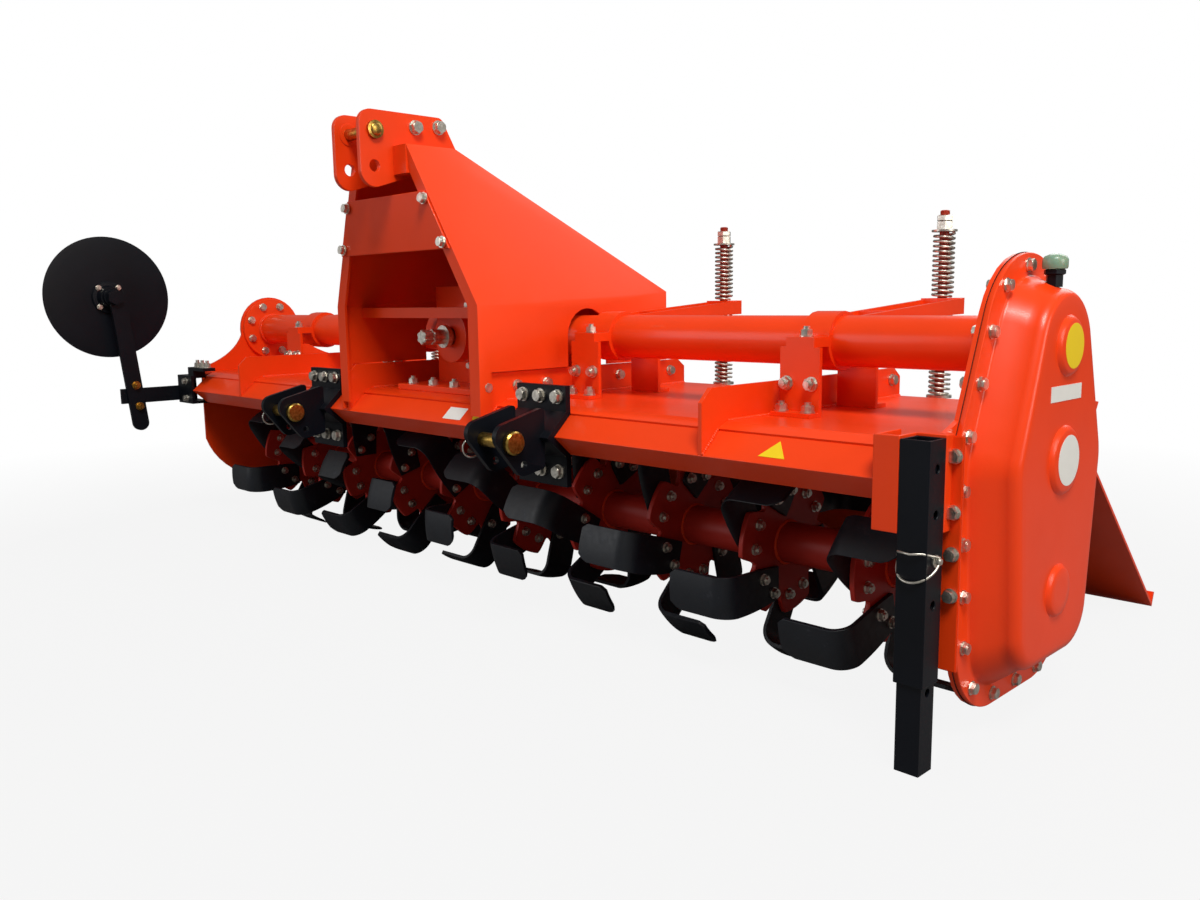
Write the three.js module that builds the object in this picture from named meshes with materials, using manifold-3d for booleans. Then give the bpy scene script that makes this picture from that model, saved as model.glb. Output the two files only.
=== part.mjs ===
// Tractor-mounted rotary tiller with a side gear drive, millimetres, +Z up.
// +X is the gear case end, -Y the tractor side. Everything is built about the
// ground point under the main tube and moved to the box's bottom centre at the end.
import * as THREE from 'three';
import { mergeVertices } from 'three/addons/utils/BufferGeometryUtils.js';
import Module from 'manifold-3d';

const wasm = await Module();
wasm.setup();
const { Manifold, Mesh } = wasm;

// ---------------------------------------------------------------- sizes
const GAP = 0.3; // between pieces that touch
const WORK_HALF = 1270; // middle to the inside of a side plate
const SIDE_T = 8; // side plate
const SHEET = 6; // deck, beam and board sheet
const RIB_T = 8;

const BLADE_R = 228; // rotor axis to blade tip
const ROTOR_Y = -15;
const ROTOR_Z = BLADE_R; // the tiller stands on its blade tips
const ROTOR_TUBE_R = 40;
const STUB_R = 24;
const FLANGE_R = 142;
const FLANGE_T = 10;
const GANGS = 10;
const GANG_PITCH = 235;
const GANG_SHIFT = 20; // the row of flanges sits towards the gear case
const BLADES = 6;
const BLADE_T = 8;
const BLADE_W = 78;
const BLADE_REACH = 122; // flange middle to the tip's free end, along the rotor
const BLADE_BOLT_R = 102;
const BLADE_BEND = 30;
const BLADE_CORNER = [16, 14]; // cut off the leading corner of the tip, along and across
const BLADE_LEAN = 44 * Math.PI / 180; // shank swept back from the radius
const GANG_TURN = Math.PI / 12; // each gang against the one before

const GEAR_CENTRES = 388; // rotor axis to tube axis
const TUBE_Z = ROTOR_Z + GEAR_CENTRES;
const TUBE_R = 46;
const TUBE_FLANGE_R = 98;
const TUBE_FLANGE_T = 12;

const DECK_TOP = ROTOR_Z + BLADE_R + 30;
const DECK_REAR = 346;
const DECK_FRONT = -236;
const RIB_H = 60;
const RIB_INNER_X = 262;
const RIB_OUTER_X = 866;

const BEAM_HALF = 1204;
const BEAM_TOP = [-262, DECK_TOP - 14];
const BEAM_NOSE = [-306, DECK_TOP - 54];
const BEAM_FOOT = [-262, DECK_TOP - 94];

const HOOD_T = 6;
const HOOD_HALF = 280;
const HOOD_TOP_HALF = 106;
const HOOD_FRONT = -314;
const HOOD_REAR = 268;
const HOOD_BAND_Z = DECK_TOP + 62; // lower edge of the side band
const HOOD_KNEE_FRONT = TUBE_Z + 72;
const HOOD_KNEE_REAR = TUBE_Z + 98;
const HOOD_TOP_Z = TUBE_Z + 412;
const HOOD_TOP_FRONT = -356;
const HOOD_TOP_REAR = -229;

const MAST_HALF = 44; // inside gap of the top-link plates is twice this
const MAST_T = 12;
const MAST_PIN = [-400, TUBE_Z + 442];
const MAST_PIN_R = 12.7;

const GEARBOX = { half: 150, front: -112, rear: 130, h: 236 };
const PTO_R = 17.5;

const HITCH_X = 428;
const HITCH_W = 148;
const HITCH_T = 12;
const HITCH_GAP = 76; // between the ears
const HITCH_PIN = [-394, DECK_TOP - 58];
const HITCH_PIN_R = 14;

const SADDLE_W = 60;
const SADDLE_T = 8;

const HINGE = [372, DECK_TOP - 18];
const HINGE_R = 9;
const BOARD_FOOT = [788, 14];
const BOARD_KNEE = [414, HINGE[1] - 112];

const ROD_INNER_X = 330;
const ROD_OUTER_X = 920;
const ROD_XS = [-ROD_OUTER_X, -ROD_INNER_X, ROD_INNER_X, ROD_OUTER_X];
const SADDLES = { inner: [372, ROD_INNER_X], outer: [926, ROD_OUTER_X] }; // saddle and rod, x
const ROD_Y = 430;
const ROD_R = 10;
const SPRING_R = 23;
const SPRING_WIRE = 6;
const LUG_PIN_Z = HINGE[1] - 73;
const ROD_BLOCK_Z = [TUBE_Z + 40, TUBE_Z + 74];
const ROD_COLLAR_Z = DECK_TOP - 2;
const ROD_TOP = TUBE_Z + 256;

const LEG = 39;
const LEG_WALL = 4;
const SLEEVE_WALL = 3.5;
const SLEEVE_CLEAR = 0.5;
const STAND_X = WORK_HALF;
const STAND_Y = -292;
const SLEEVE_Z = [136, DECK_TOP + 10];
const LEG_TOP = SLEEVE_Z[1] - 6;
const STAND_PIN_Z = 322;

const DISC_R = 184;
const DISC_T = 5;
const DISC_C = [-486, TUBE_Z + 109];
const ARM_X = -WORK_HALF - 26;
const ARM_T = 12;
const ARM_W = 48;

// ---------------------------------------------------------------- helpers
function solid(geometry) {
  const bare = geometry.clone();
  bare.deleteAttribute('normal');
  bare.deleteAttribute('uv');
  const merged = mergeVertices(bare, 1e-4);
  return new Manifold(new Mesh({
    numProp: 3,
    vertProperties: new Float32Array(merged.attributes.position.array),
    triVerts: new Uint32Array(merged.index.array),
  }));
}

function box(x0, x1, y0, y1, z0, z1) {
  const g = new THREE.BoxGeometry(x1 - x0, y1 - y0, z1 - z0);
  return solid(g.translate((x0 + x1) / 2, (y0 + y1) / 2, (z0 + z1) / 2));
}

// A round bar along one axis from a to b; p and q are its other two coordinates in x, y, z order.
function bar(axis, r, a, b, p, q, r2 = r, sides = 20) {
  const g = new THREE.CylinderGeometry(r2, r, b - a, sides);
  g.translate(0, (a + b) / 2, 0);
  if (axis === 'x') return solid(g.rotateZ(-Math.PI / 2).translate(0, p, q));
  if (axis === 'y') return solid(g.translate(p, 0, q));
  return solid(g.rotateX(Math.PI / 2).translate(p, q, 0));
}

// Extrudes an outline drawn in (y, z) along x from x0 to x1.
function plateYZ(shape, x0, x1) {
  const g = new THREE.ExtrudeGeometry(shape, { depth: x1 - x0, bevelEnabled: false, curveSegments: 10 });
  const turn = new THREE.Matrix4().makeBasis(
    new THREE.Vector3(0, 1, 0), new THREE.Vector3(0, 0, 1), new THREE.Vector3(1, 0, 0));
  return solid(g.applyMatrix4(turn).translate(x0, 0, 0));
}

function outline(points) {
  return new THREE.Shape(points.map(([a, b]) => new THREE.Vector2(a, b)));
}

// The rubber-band outline round a set of circles [a, b, radius].
function band(circles, grow = 0, steps = 32) {
  const pts = [];
  for (const [a, b, r] of circles) {
    for (let i = 0; i < steps; i++) {
      const t = 2 * Math.PI * i / steps;
      pts.push([a + (r + grow) * Math.cos(t), b + (r + grow) * Math.sin(t)]);
    }
  }
  pts.sort((p, q) => p[0] - q[0] || p[1] - q[1]);
  const cross = (o, p, q) => (p[0] - o[0]) * (q[1] - o[1]) - (p[1] - o[1]) * (q[0] - o[0]);
  const half = (list) => {
    const out = [];
    for (const p of list) {
      while (out.length > 1 && cross(out[out.length - 2], out[out.length - 1], p) < 1e-3) out.pop();
      out.push(p);
    }
    return out.slice(0, -1);
  };
  return outline([...half(pts), ...half([...pts].reverse())]);
}

// A folded sheet: a path of (y, z) points given a thickness to its left.
function fold(path, t) {
  const v = path.map(([a, b]) => new THREE.Vector2(a, b));
  const side = v.map((p, i) => {
    const d0 = (i ? p.clone().sub(v[i - 1]) : v[1].clone().sub(p)).normalize();
    const d1 = (i < v.length - 1 ? v[i + 1].clone().sub(p) : d0.clone()).normalize();
    const n0 = new THREE.Vector2(-d0.y, d0.x);
    const n1 = new THREE.Vector2(-d1.y, d1.x);
    const m = n0.clone().add(n1).normalize();
    return p.clone().add(m.multiplyScalar(t / m.dot(n0)));
  });
  return new THREE.Shape([...v, ...side.reverse()]);
}

const join = (...parts) => Manifold.union(parts.flat());
const mirrorX = (m) => m.mirror([1, 0, 0]);
const both = (make) => [['right', make()], ['left', mirrorX(make())]];

const paint = (color, roughness = 0.35, metalness = 0.0) =>
  new THREE.MeshStandardMaterial({ color, roughness, metalness });
const ORANGE = paint(0xe9431a);
const ROTOR_RED = paint(0xc8341a, 0.45);
const BLACK = paint(0x15171c, 0.4);
const STEEL = paint(0x9a9ca0, 0.35, 1);
const GOLD = paint(0xc29a4a, 0.35, 1);
const BLADE_STEEL = paint(0x1c1d22, 0.5, 0.6);
const PLASTIC = paint(0x9fb8a8, 0.3);

const group = new THREE.Group();
function piece(name, m, material) {
  const mesh = m.getMesh();
  const g = new THREE.BufferGeometry();
  g.setAttribute('position', new THREE.BufferAttribute(new Float32Array(mesh.vertProperties), 3));
  g.setIndex(new THREE.BufferAttribute(new Uint32Array(mesh.triVerts), 1));
  g.computeVertexNormals();
  const out = new THREE.Mesh(g, material);
  out.name = name;
  group.add(out);
}

// ---------------------------------------------------------------- deck, beam, ribs
const beamRise = [BEAM_TOP[0], BEAM_TOP[1] + GAP * 1.5];
const beamToe = [BEAM_NOSE[0] + 1, BEAM_NOSE[1] + GAP * 1.5 + 1];

function rib(x) {
  return plateYZ(outline([
    beamToe, beamRise, [DECK_FRONT, DECK_TOP - 1], [DECK_REAR, DECK_TOP - 1],
    [DECK_REAR, DECK_TOP + RIB_H * 0.7], [DECK_REAR - 24, DECK_TOP + RIB_H],
    [BEAM_NOSE[0] + 26, DECK_TOP + RIB_H], [BEAM_NOSE[0] + 1, DECK_TOP + RIB_H * 0.6],
  ]), x, x + RIB_T);
}

function hingeLug(x) {
  const [y, z] = HINGE;
  const body = plateYZ(band([[y, z, 17], [y - 40, z + 6, 6]], 0, 16), x - 4, x + 4);
  return body.subtract(bar('x', HINGE_R + 0.6, x - 5, x + 5, y, z));
}
const HINGE_LUGS = [-WORK_HALF + 30, -620, 0, 620, WORK_HALF - 30];

function deck() {
  const flat = plateYZ(fold([
    [DECK_REAR + 4, DECK_TOP - 26], [DECK_REAR, DECK_TOP], [DECK_FRONT, DECK_TOP],
    [BEAM_TOP[0], BEAM_TOP[1] + 3],
  ], SHEET), -WORK_HALF + GAP, WORK_HALF - GAP);
  const ribs = [RIB_INNER_X, RIB_OUTER_X].flatMap((x) => [rib(x), mirrorX(rib(x))]);
  const corner = box(BEAM_HALF + GAP, WORK_HALF + 1, BEAM_NOSE[0], DECK_FRONT - 2, 0, DECK_TOP + 1);
  return join(flat.subtract(join(corner, mirrorX(corner))), ribs, HINGE_LUGS.map(hingeLug));
}
piece('deck', deck(), ORANGE);

const beamPath = [BEAM_TOP, BEAM_NOSE, BEAM_FOOT];
piece('front_beam', plateYZ(fold(beamPath, SHEET), -BEAM_HALF, BEAM_HALF), ORANGE);

// ---------------------------------------------------------------- side plates
const GEAR_BAND = [
  [0, TUBE_Z - 4, 110], [-74, ROTOR_Z + 200, 112], [74, ROTOR_Z + 200, 112],
  [-74, ROTOR_Z - 60, 88], [74, ROTOR_Z - 60, 88],
];
const GEAR_RIM = 38;

function sidePlate(x, bandShape) {
  const skirt = new THREE.Shape();
  skirt.moveTo(-244, DECK_TOP + 12);
  skirt.lineTo(-244, ROTOR_Z + 40);
  skirt.quadraticCurveTo(-200, ROTOR_Z - 96, 0, ROTOR_Z - 128);
  skirt.quadraticCurveTo(230, ROTOR_Z - 96, 300, DECK_TOP - 60);
  skirt.lineTo(HINGE[0] - HINGE_R - 18, DECK_TOP + 12);
  skirt.quadraticCurveTo(120, DECK_TOP + 40, 96, TUBE_Z);
  skirt.lineTo(-96, TUBE_Z);
  skirt.quadraticCurveTo(-120, DECK_TOP + 48, -244, DECK_TOP + 12);
  const body = join(plateYZ(skirt, x, x + SIDE_T), plateYZ(bandShape, x, x + SIDE_T));
  return body.subtract(bar('x', STUB_R + 4, x - 1, x + SIDE_T + 1, ROTOR_Y, ROTOR_Z));
}

function bearingHouse(x, outward) {
  const [a, b] = outward > 0 ? [x, x + 46] : [x - 46, x];
  const hub = join(bar('x', 58, a, b, ROTOR_Y, ROTOR_Z), bar('x', 84, x - 10, x + 10, ROTOR_Y, ROTOR_Z));
  return hub.subtract(bar('x', STUB_R + 4, a + (outward > 0 ? -20 : 8), b + (outward > 0 ? -8 : 20),
    ROTOR_Y, ROTOR_Z));
}
piece('side_plate_right', sidePlate(WORK_HALF, band(GEAR_BAND, GEAR_RIM)), ORANGE);
piece('side_plate_left', join(
  sidePlate(-WORK_HALF - SIDE_T, band([[0, TUBE_Z, TUBE_FLANGE_R + 6]])),
  bearingHouse(-WORK_HALF - SIDE_T, -1).subtract(
    box(-WORK_HALF - SIDE_T, -WORK_HALF + 40, -200, 200, 0, 2 * ROTOR_Z))), ORANGE);

// ---------------------------------------------------------------- gear case
const COVER_X = WORK_HALF + SIDE_T + GAP;
const COVER_FLANGE_T = 9;
const COVER_FACE_X = COVER_X + 74;
const FACE_BAND = [
  [0, TUBE_Z - 12, 90], [-60, ROTOR_Z + 200, 89], [60, ROTOR_Z + 200, 89],
  [-60, ROTOR_Z - 35, 64], [60, ROTOR_Z - 35, 64],
];
const BOSSES = [[TUBE_Z, 47], [ROTOR_Z + 210, 55], [ROTOR_Z, 43]];

function coverBody(grow) {
  const root = plateYZ(band(GEAR_BAND, grow), COVER_X - 0.01, COVER_X + COVER_FLANGE_T);
  const knee = plateYZ(band(FACE_BAND, grow + 7), COVER_X + COVER_FLANGE_T, COVER_FACE_X - 9 + grow);
  const face = plateYZ(band(FACE_BAND, grow), COVER_FACE_X - 10 + grow, COVER_FACE_X + grow);
  return Manifold.hull([root, knee, face]);
}

function gearCover() {
  const rim = plateYZ(band(GEAR_BAND, GEAR_RIM), COVER_X, COVER_X + COVER_FLANGE_T);
  const bosses = BOSSES.map(([z, r]) => bar('x', r, COVER_FACE_X - 4, COVER_FACE_X + 7, 0, z, r - 6));
  const hollow = coverBody(-5);
  return join(rim, coverBody(0), bosses).subtract(hollow.translate([-0.5, 0, 0]));
}
piece('gear_case_cover', gearCover(), ORANGE);

const BREATHER = { x: COVER_X + 44, y: 6, z: TUBE_Z + 84, h: 58 };
piece('gear_case_breather', join(
  bar('z', 13, BREATHER.z, BREATHER.z + BREATHER.h, BREATHER.x, BREATHER.y),
  bar('z', 19, BREATHER.z + 30, BREATHER.z + BREATHER.h - 6, BREATHER.x, BREATHER.y, 17),
).subtract(coverBody(GAP)), PLASTIC);

// ---------------------------------------------------------------- main tube
function mainTube() {
  const from = GEARBOX.half + GAP;
  const to = WORK_HALF - GAP;
  const tube = join(
    bar('x', TUBE_R, from, to, 0, TUBE_Z, TUBE_R, 32),
    bar('x', TUBE_FLANGE_R, to - TUBE_FLANGE_T, to, 0, TUBE_Z, TUBE_FLANGE_R, 32),
    bar('x', TUBE_R + 34, from, from + TUBE_FLANGE_T, 0, TUBE_Z, TUBE_R + 34, 32));
  return tube.subtract(bar('x', TUBE_R - 6, from - 1, to + 1, 0, TUBE_Z));
}
for (const [side, m] of both(mainTube)) piece(`main_tube_${side}`, m, ORANGE);

// Arms that reach back from a saddle and guide one rod of the trailing board.
function rodArm(x) {
  const arm = (s) => plateYZ(outline([
    [10, TUBE_Z + 30], [ROD_Y + 24, ROD_BLOCK_Z[0]], [ROD_Y + 24, ROD_BLOCK_Z[1]], [20, TUBE_Z + 42],
  ]), x + s * 34 - 4, x + s * 34 + 4);
  const block = box(x - 36, x + 36, ROD_Y - 24, ROD_Y + 24, ...ROD_BLOCK_Z);
  const brace = box(x - 34, x + 34, 150, 162, TUBE_Z + 40, TUBE_Z + 52);
  return join(arm(-1), arm(1), block, brace)
    .subtract(bar('z', ROD_R + 1, ROD_BLOCK_Z[0] - 2, ROD_BLOCK_Z[1] + 2, x, ROD_Y));
}

// Saddles that strap the tube down to the deck.
function saddle(x, rodX) {
  const a = x - SADDLE_W / 2;
  const b = x + SADDLE_W / 2;
  const r = TUBE_R + GAP;
  const strap = bar('x', r + SADDLE_T, a, b, 0, TUBE_Z);
  const foot = (s) => box(a, b, Math.min(s * 40, s * 98), Math.max(s * 40, s * 98), TUBE_Z - 8, TUBE_Z + 10);
  const leg = (s) => box(a - 12, b + 12, s * 94 - 4, s * 94 + 4, DECK_TOP + GAP, TUBE_Z - 8);
  const floor = (s) => box(a - 12, b + 12, Math.min(s * 90, s * 128), Math.max(s * 90, s * 128),
    DECK_TOP + GAP, DECK_TOP + SADDLE_T);
  return join(strap, foot(-1), foot(1), leg(-1), leg(1), floor(-1), floor(1), rodArm(rodX))
    .subtract(bar('x', r, rodX - 60, rodX + 120, 0, TUBE_Z, r, 32));
}
for (const [place, [x, rodX]] of Object.entries(SADDLES)) {
  for (const [side, m] of both(() => saddle(x, rodX))) piece(`tube_saddle_${place}_${side}`, m, ORANGE);
}

// ---------------------------------------------------------------- gearbox and input shaft
function gearbox() {
  const { half, front, rear, h } = GEARBOX;
  const low = DECK_TOP + GAP;
  const foot = box(-half - 10, half + 10, front - 116, rear + 30, low, low + 14);
  const body = box(-half, half, front, rear, low + 10, TUBE_Z + h / 2);
  const nose = join(
    bar('y', 62, front - 70, front + 1, 0, TUBE_Z), bar('y', 84, front - 14, front + 1, 0, TUBE_Z));
  return join(foot, body, nose)
    .subtract(bar('y', PTO_R + 4, front - 71, front - 20, 0, TUBE_Z));
}
piece('gearbox', gearbox(), ORANGE);

const PTO_BACK = GEARBOX.front - 24;
const PTO_TIP = GEARBOX.front - 152;
piece('pto_shaft', join(
  bar('y', PTO_R, PTO_TIP, PTO_BACK, 0, TUBE_Z),
  bar('y', PTO_R + 9, PTO_TIP + 60, PTO_TIP + 72, 0, TUBE_Z)), STEEL);

// ---------------------------------------------------------------- hood
function hoodBody(inset) {
  const i = inset;
  const open = inset ? 40 : 0; // the inside runs out through the front and the bottom
  const floor = (inset ? BEAM_NOSE[1] - 80 : BEAM_NOSE[1] + 6);
  const w = HOOD_HALF - i;
  const top = HOOD_TOP_HALF - i;
  const lower = [];
  const upper = [];
  for (const s of [-1, 1]) {
    lower.push([s * w, HOOD_FRONT - open, floor], [s * w, HOOD_REAR - i, floor],
      [s * w, HOOD_FRONT - open, HOOD_KNEE_FRONT], [s * w, HOOD_REAR - i, HOOD_KNEE_REAR]);
    upper.push([s * w, HOOD_FRONT - open, HOOD_KNEE_FRONT], [s * w, HOOD_REAR - i, HOOD_KNEE_REAR],
      [s * top, HOOD_TOP_FRONT - open, HOOD_TOP_Z - i], [s * top, HOOD_TOP_REAR, HOOD_TOP_Z - i]);
  }
  return join(Manifold.hull(lower), Manifold.hull(upper));
}

function hood() {
  const shell = hoodBody(0).subtract(hoodBody(HOOD_T));
  const clearBand = box(-400, 400, BEAM_TOP[0] - 20, 400, 0, HOOD_BAND_Z);
  const clearBeam = plateYZ(outline([
    [BEAM_NOSE[0] - 2, 0], [BEAM_NOSE[0] - 2, BEAM_NOSE[1] + 1], [beamRise[0], beamRise[1] + 1],
    [DECK_FRONT, DECK_TOP + GAP], [400, DECK_TOP + GAP], [400, 0],
  ]), -400, 400);
  const arch = join(
    bar('x', TUBE_R + 16, -400, 400, 0, TUBE_Z),
    box(-400, 400, -TUBE_R - 16, TUBE_R + 16, 0, TUBE_Z));
  const flange = (s) => {
    const inner = s * (HOOD_HALF - 34);
    const topIn = s * (HOOD_TOP_HALF - 30);
    const y = HOOD_FRONT;
    return join(
      Manifold.hull([
        [s * HOOD_HALF, y, HOOD_KNEE_FRONT], [inner, y, HOOD_KNEE_FRONT],
        [s * HOOD_HALF, y, BEAM_NOSE[1] + 24], [inner, y, BEAM_NOSE[1] + 24],
        [s * HOOD_HALF, y + HOOD_T, HOOD_KNEE_FRONT], [inner, y + HOOD_T, HOOD_KNEE_FRONT],
        [s * HOOD_HALF, y + HOOD_T, BEAM_NOSE[1] + 24], [inner, y + HOOD_T, BEAM_NOSE[1] + 24]]),
      Manifold.hull([
        [s * HOOD_HALF, y, HOOD_KNEE_FRONT], [inner, y, HOOD_KNEE_FRONT],
        [s * HOOD_TOP_HALF, HOOD_TOP_FRONT, HOOD_TOP_Z], [topIn, HOOD_TOP_FRONT, HOOD_TOP_Z],
        [s * HOOD_HALF, y + HOOD_T, HOOD_KNEE_FRONT], [inner, y + HOOD_T, HOOD_KNEE_FRONT],
        [s * HOOD_TOP_HALF, HOOD_TOP_FRONT + HOOD_T, HOOD_TOP_Z],
        [topIn, HOOD_TOP_FRONT + HOOD_T, HOOD_TOP_Z]]));
  };
  const brace = box(-HOOD_HALF + 3, HOOD_HALF - 3, -250, -206, HOOD_KNEE_FRONT - 28, HOOD_KNEE_FRONT - 4);
  const mastBar = box(-HOOD_TOP_HALF + 2, HOOD_TOP_HALF - 2, HOOD_TOP_FRONT, HOOD_TOP_FRONT + 20,
    HOOD_TOP_Z - 60, HOOD_TOP_Z);
  return join(shell.subtract(clearBand), flange(-1), flange(1), brace, mastBar)
    .subtract(clearBeam).subtract(arch).subtract(join(mastCut(-1), mastCut(1)));
}

// The top-link plates pass down through slots in the hood's crown.
function mastX(s) {
  return s > 0 ? [MAST_HALF, MAST_HALF + MAST_T] : [-MAST_HALF - MAST_T, -MAST_HALF];
}

function mastOutline(grow) {
  const g = grow;
  return band([
    [MAST_PIN[0] - 6, MAST_PIN[1] + 12, 30], [MAST_PIN[0] - 2, MAST_PIN[1] - 84, 34],
    [-236, MAST_PIN[1] + 24, 18], [-200, MAST_PIN[1] - 28, 12], [-330, MAST_PIN[1] - 76, 20],
  ], g);
}

const SLOT_GAP = 0.8; // each side of a plate in its slot
function mastCut(s) {
  const [a, b] = mastX(s);
  return plateYZ(mastOutline(GAP), a - SLOT_GAP, b + SLOT_GAP);
}

const MAST_BOSS = [24, 2]; // pad round the pin on the inside of each plate, radius and height
function mastPlate(s) {
  const [a, b] = mastX(s);
  const [r, t] = MAST_BOSS;
  const [low, high] = s > 0 ? [a - t, a + 1] : [b - 1, b + t];
  return join(plateYZ(mastOutline(0), a, b), bar('x', r, low, high, ...MAST_PIN))
    .subtract(bar('x', MAST_PIN_R + GAP, a - t - 1, b + t + 1, ...MAST_PIN))
    .subtract(bar('x', MAST_PIN_R, a - 1, b + 1, MAST_PIN[0] - 2, MAST_PIN[1] - 74));
}
piece('hood', hood(), ORANGE);
piece('top_link_plate_right', mastPlate(1), ORANGE);
piece('top_link_plate_left', mastPlate(-1), ORANGE);

const MAST_OUT = MAST_HALF + MAST_T;
piece('top_link_pin', join(
  bar('x', MAST_PIN_R, -MAST_OUT - 22, MAST_OUT + 14, ...MAST_PIN),
  bar('x', MAST_PIN_R + 6, MAST_OUT + GAP, MAST_OUT + 9, ...MAST_PIN)), GOLD);

function frontPlate() {
  const z0 = HOOD_KNEE_FRONT + 118;
  const z1 = HOOD_TOP_Z - 100;
  const at = (z) => {
    const k = (z - HOOD_KNEE_FRONT) / (HOOD_TOP_Z - HOOD_KNEE_FRONT);
    return {
      w: HOOD_HALF + (HOOD_TOP_HALF - HOOD_HALF) * k - 4,
      y: HOOD_FRONT + (HOOD_TOP_FRONT - HOOD_FRONT) * k - GAP,
    };
  };
  const pts = [];
  for (const z of [z0, z1]) {
    const { w, y } = at(z);
    for (const s of [-1, 1]) pts.push([s * w, y, z], [s * w, y - 5, z]);
  }
  return Manifold.hull(pts);
}
piece('hood_front_plate', frontPlate(), ORANGE);

// ---------------------------------------------------------------- lower hitch
function hitchBracket() {
  const t = HITCH_T;
  const a = HITCH_X - HITCH_W / 2;
  const b = HITCH_X + HITCH_W / 2;
  const off = GAP * 1.5;
  const wrap = fold([
    [BEAM_FOOT[0] - off, BEAM_FOOT[1] - 64], [BEAM_FOOT[0] - off, BEAM_FOOT[1] + 2],
    [BEAM_NOSE[0] - off, BEAM_NOSE[1]], [BEAM_TOP[0] - off, BEAM_TOP[1] + 2],
    [BEAM_TOP[0] - off, BEAM_TOP[1] + 58]], t);
  const ears = [-1, 1].map((s) => {
    const x0 = HITCH_X + s * HITCH_GAP / 2 + (s > 0 ? 0 : -t);
    const [y, z] = HITCH_PIN;
    return plateYZ(band([
      [y - 12, z + 12, 26], [BEAM_NOSE[0] - 12, z + 52, 8], [BEAM_NOSE[0] - 12, z - 52, 8],
      [y + 30, z - 46, 22]]), x0, x0 + t)
      .subtract(bar('x', HITCH_PIN_R + GAP, x0 - 1, x0 + t + 1, y, z))
      .subtract(bar('x', 8, x0 - 1, x0 + t + 1, y + 30, z - 46));
  });
  return join(plateYZ(wrap, a, b), ears).subtract(
    plateYZ(outline([
      [BEAM_FOOT[0] + 60, BEAM_FOOT[1] - 90], [BEAM_FOOT[0] - off / 2, BEAM_FOOT[1] - 90],
      [BEAM_FOOT[0] - off / 2, BEAM_FOOT[1]], [BEAM_NOSE[0] - off, BEAM_NOSE[1]],
      [BEAM_TOP[0] - off / 2, BEAM_TOP[1]], [BEAM_TOP[0] - off / 2, BEAM_TOP[1] + 90],
      [BEAM_TOP[0] + 60, BEAM_TOP[1] + 90]]), a - 1, b + 1));
}
for (const [side, m] of both(hitchBracket)) piece(`hitch_bracket_${side}`, m, BLACK);

function hitchPin() {
  const out = HITCH_X + HITCH_GAP / 2 + HITCH_T;
  const inn = HITCH_X - HITCH_GAP / 2 - HITCH_T;
  return join(
    bar('x', HITCH_PIN_R, inn - 30, out + 12, ...HITCH_PIN),
    bar('x', HITCH_PIN_R + 9, out + GAP, out + 14, ...HITCH_PIN));
}
piece('hitch_pin_right', hitchPin(), GOLD);
piece('hitch_pin_left', hitchPin().translate([-2 * HITCH_X, 0, 0]), GOLD);

// ---------------------------------------------------------------- stand
const SLEEVE_IN = LEG / 2 + SLEEVE_CLEAR;
const SLEEVE_OUT = SLEEVE_IN + SLEEVE_WALL;

function stand() {
  const x = STAND_X;
  const y = STAND_Y;
  const [low, high] = SLEEVE_Z;
  const tube = box(x - SLEEVE_OUT, x + SLEEVE_OUT, y - SLEEVE_OUT, y + SLEEVE_OUT, low, high)
    .subtract(box(x - SLEEVE_IN, x + SLEEVE_IN, y - SLEEVE_IN, y + SLEEVE_IN, low - 1, high + 1));
  const holes = [0, 1, 2, 3].map((i) => bar('x', 7, x - 30, x + 30, y, STAND_PIN_Z - 66 + i * 66,
    7, 10));
  return tube.subtract(join(holes));
}
piece('stand_sleeve', stand(), BLACK);

function standBracket() {
  const back = -244 - GAP;
  const front = STAND_Y + SLEEVE_OUT + GAP;
  const [low, high] = [DECK_TOP - 128, DECK_TOP + 14];
  const web = box(BEAM_HALF + GAP, STAND_X + SLEEVE_OUT, front, back, low, high);
  const wing = box(BEAM_HALF + GAP, STAND_X - SLEEVE_OUT - GAP, STAND_Y - SLEEVE_OUT, front + 1, low, high);
  const core = box(BEAM_HALF + 6, STAND_X - SLEEVE_OUT - 6, STAND_Y - SLEEVE_OUT + 6, back + 1, low - 1, high + 1);
  return join(web, wing).subtract(core);
}
piece('stand_bracket', standBracket(), ORANGE);

function leg() {
  const h = LEG / 2;
  const w = h - LEG_WALL;
  const tube = box(STAND_X - h, STAND_X + h, STAND_Y - h, STAND_Y + h, 0, LEG_TOP)
    .subtract(box(STAND_X - w, STAND_X + w, STAND_Y - w, STAND_Y + w, 8, LEG_TOP + 1));
  const holes = [-3, -2, -1, 0, 1].map((i) => bar('x', 7, STAND_X - 30, STAND_X + 30, STAND_Y,
    STAND_PIN_Z + i * 66, 7, 10));
  return tube.subtract(join(holes));
}
piece('stand_leg', leg(), BLACK);

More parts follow.
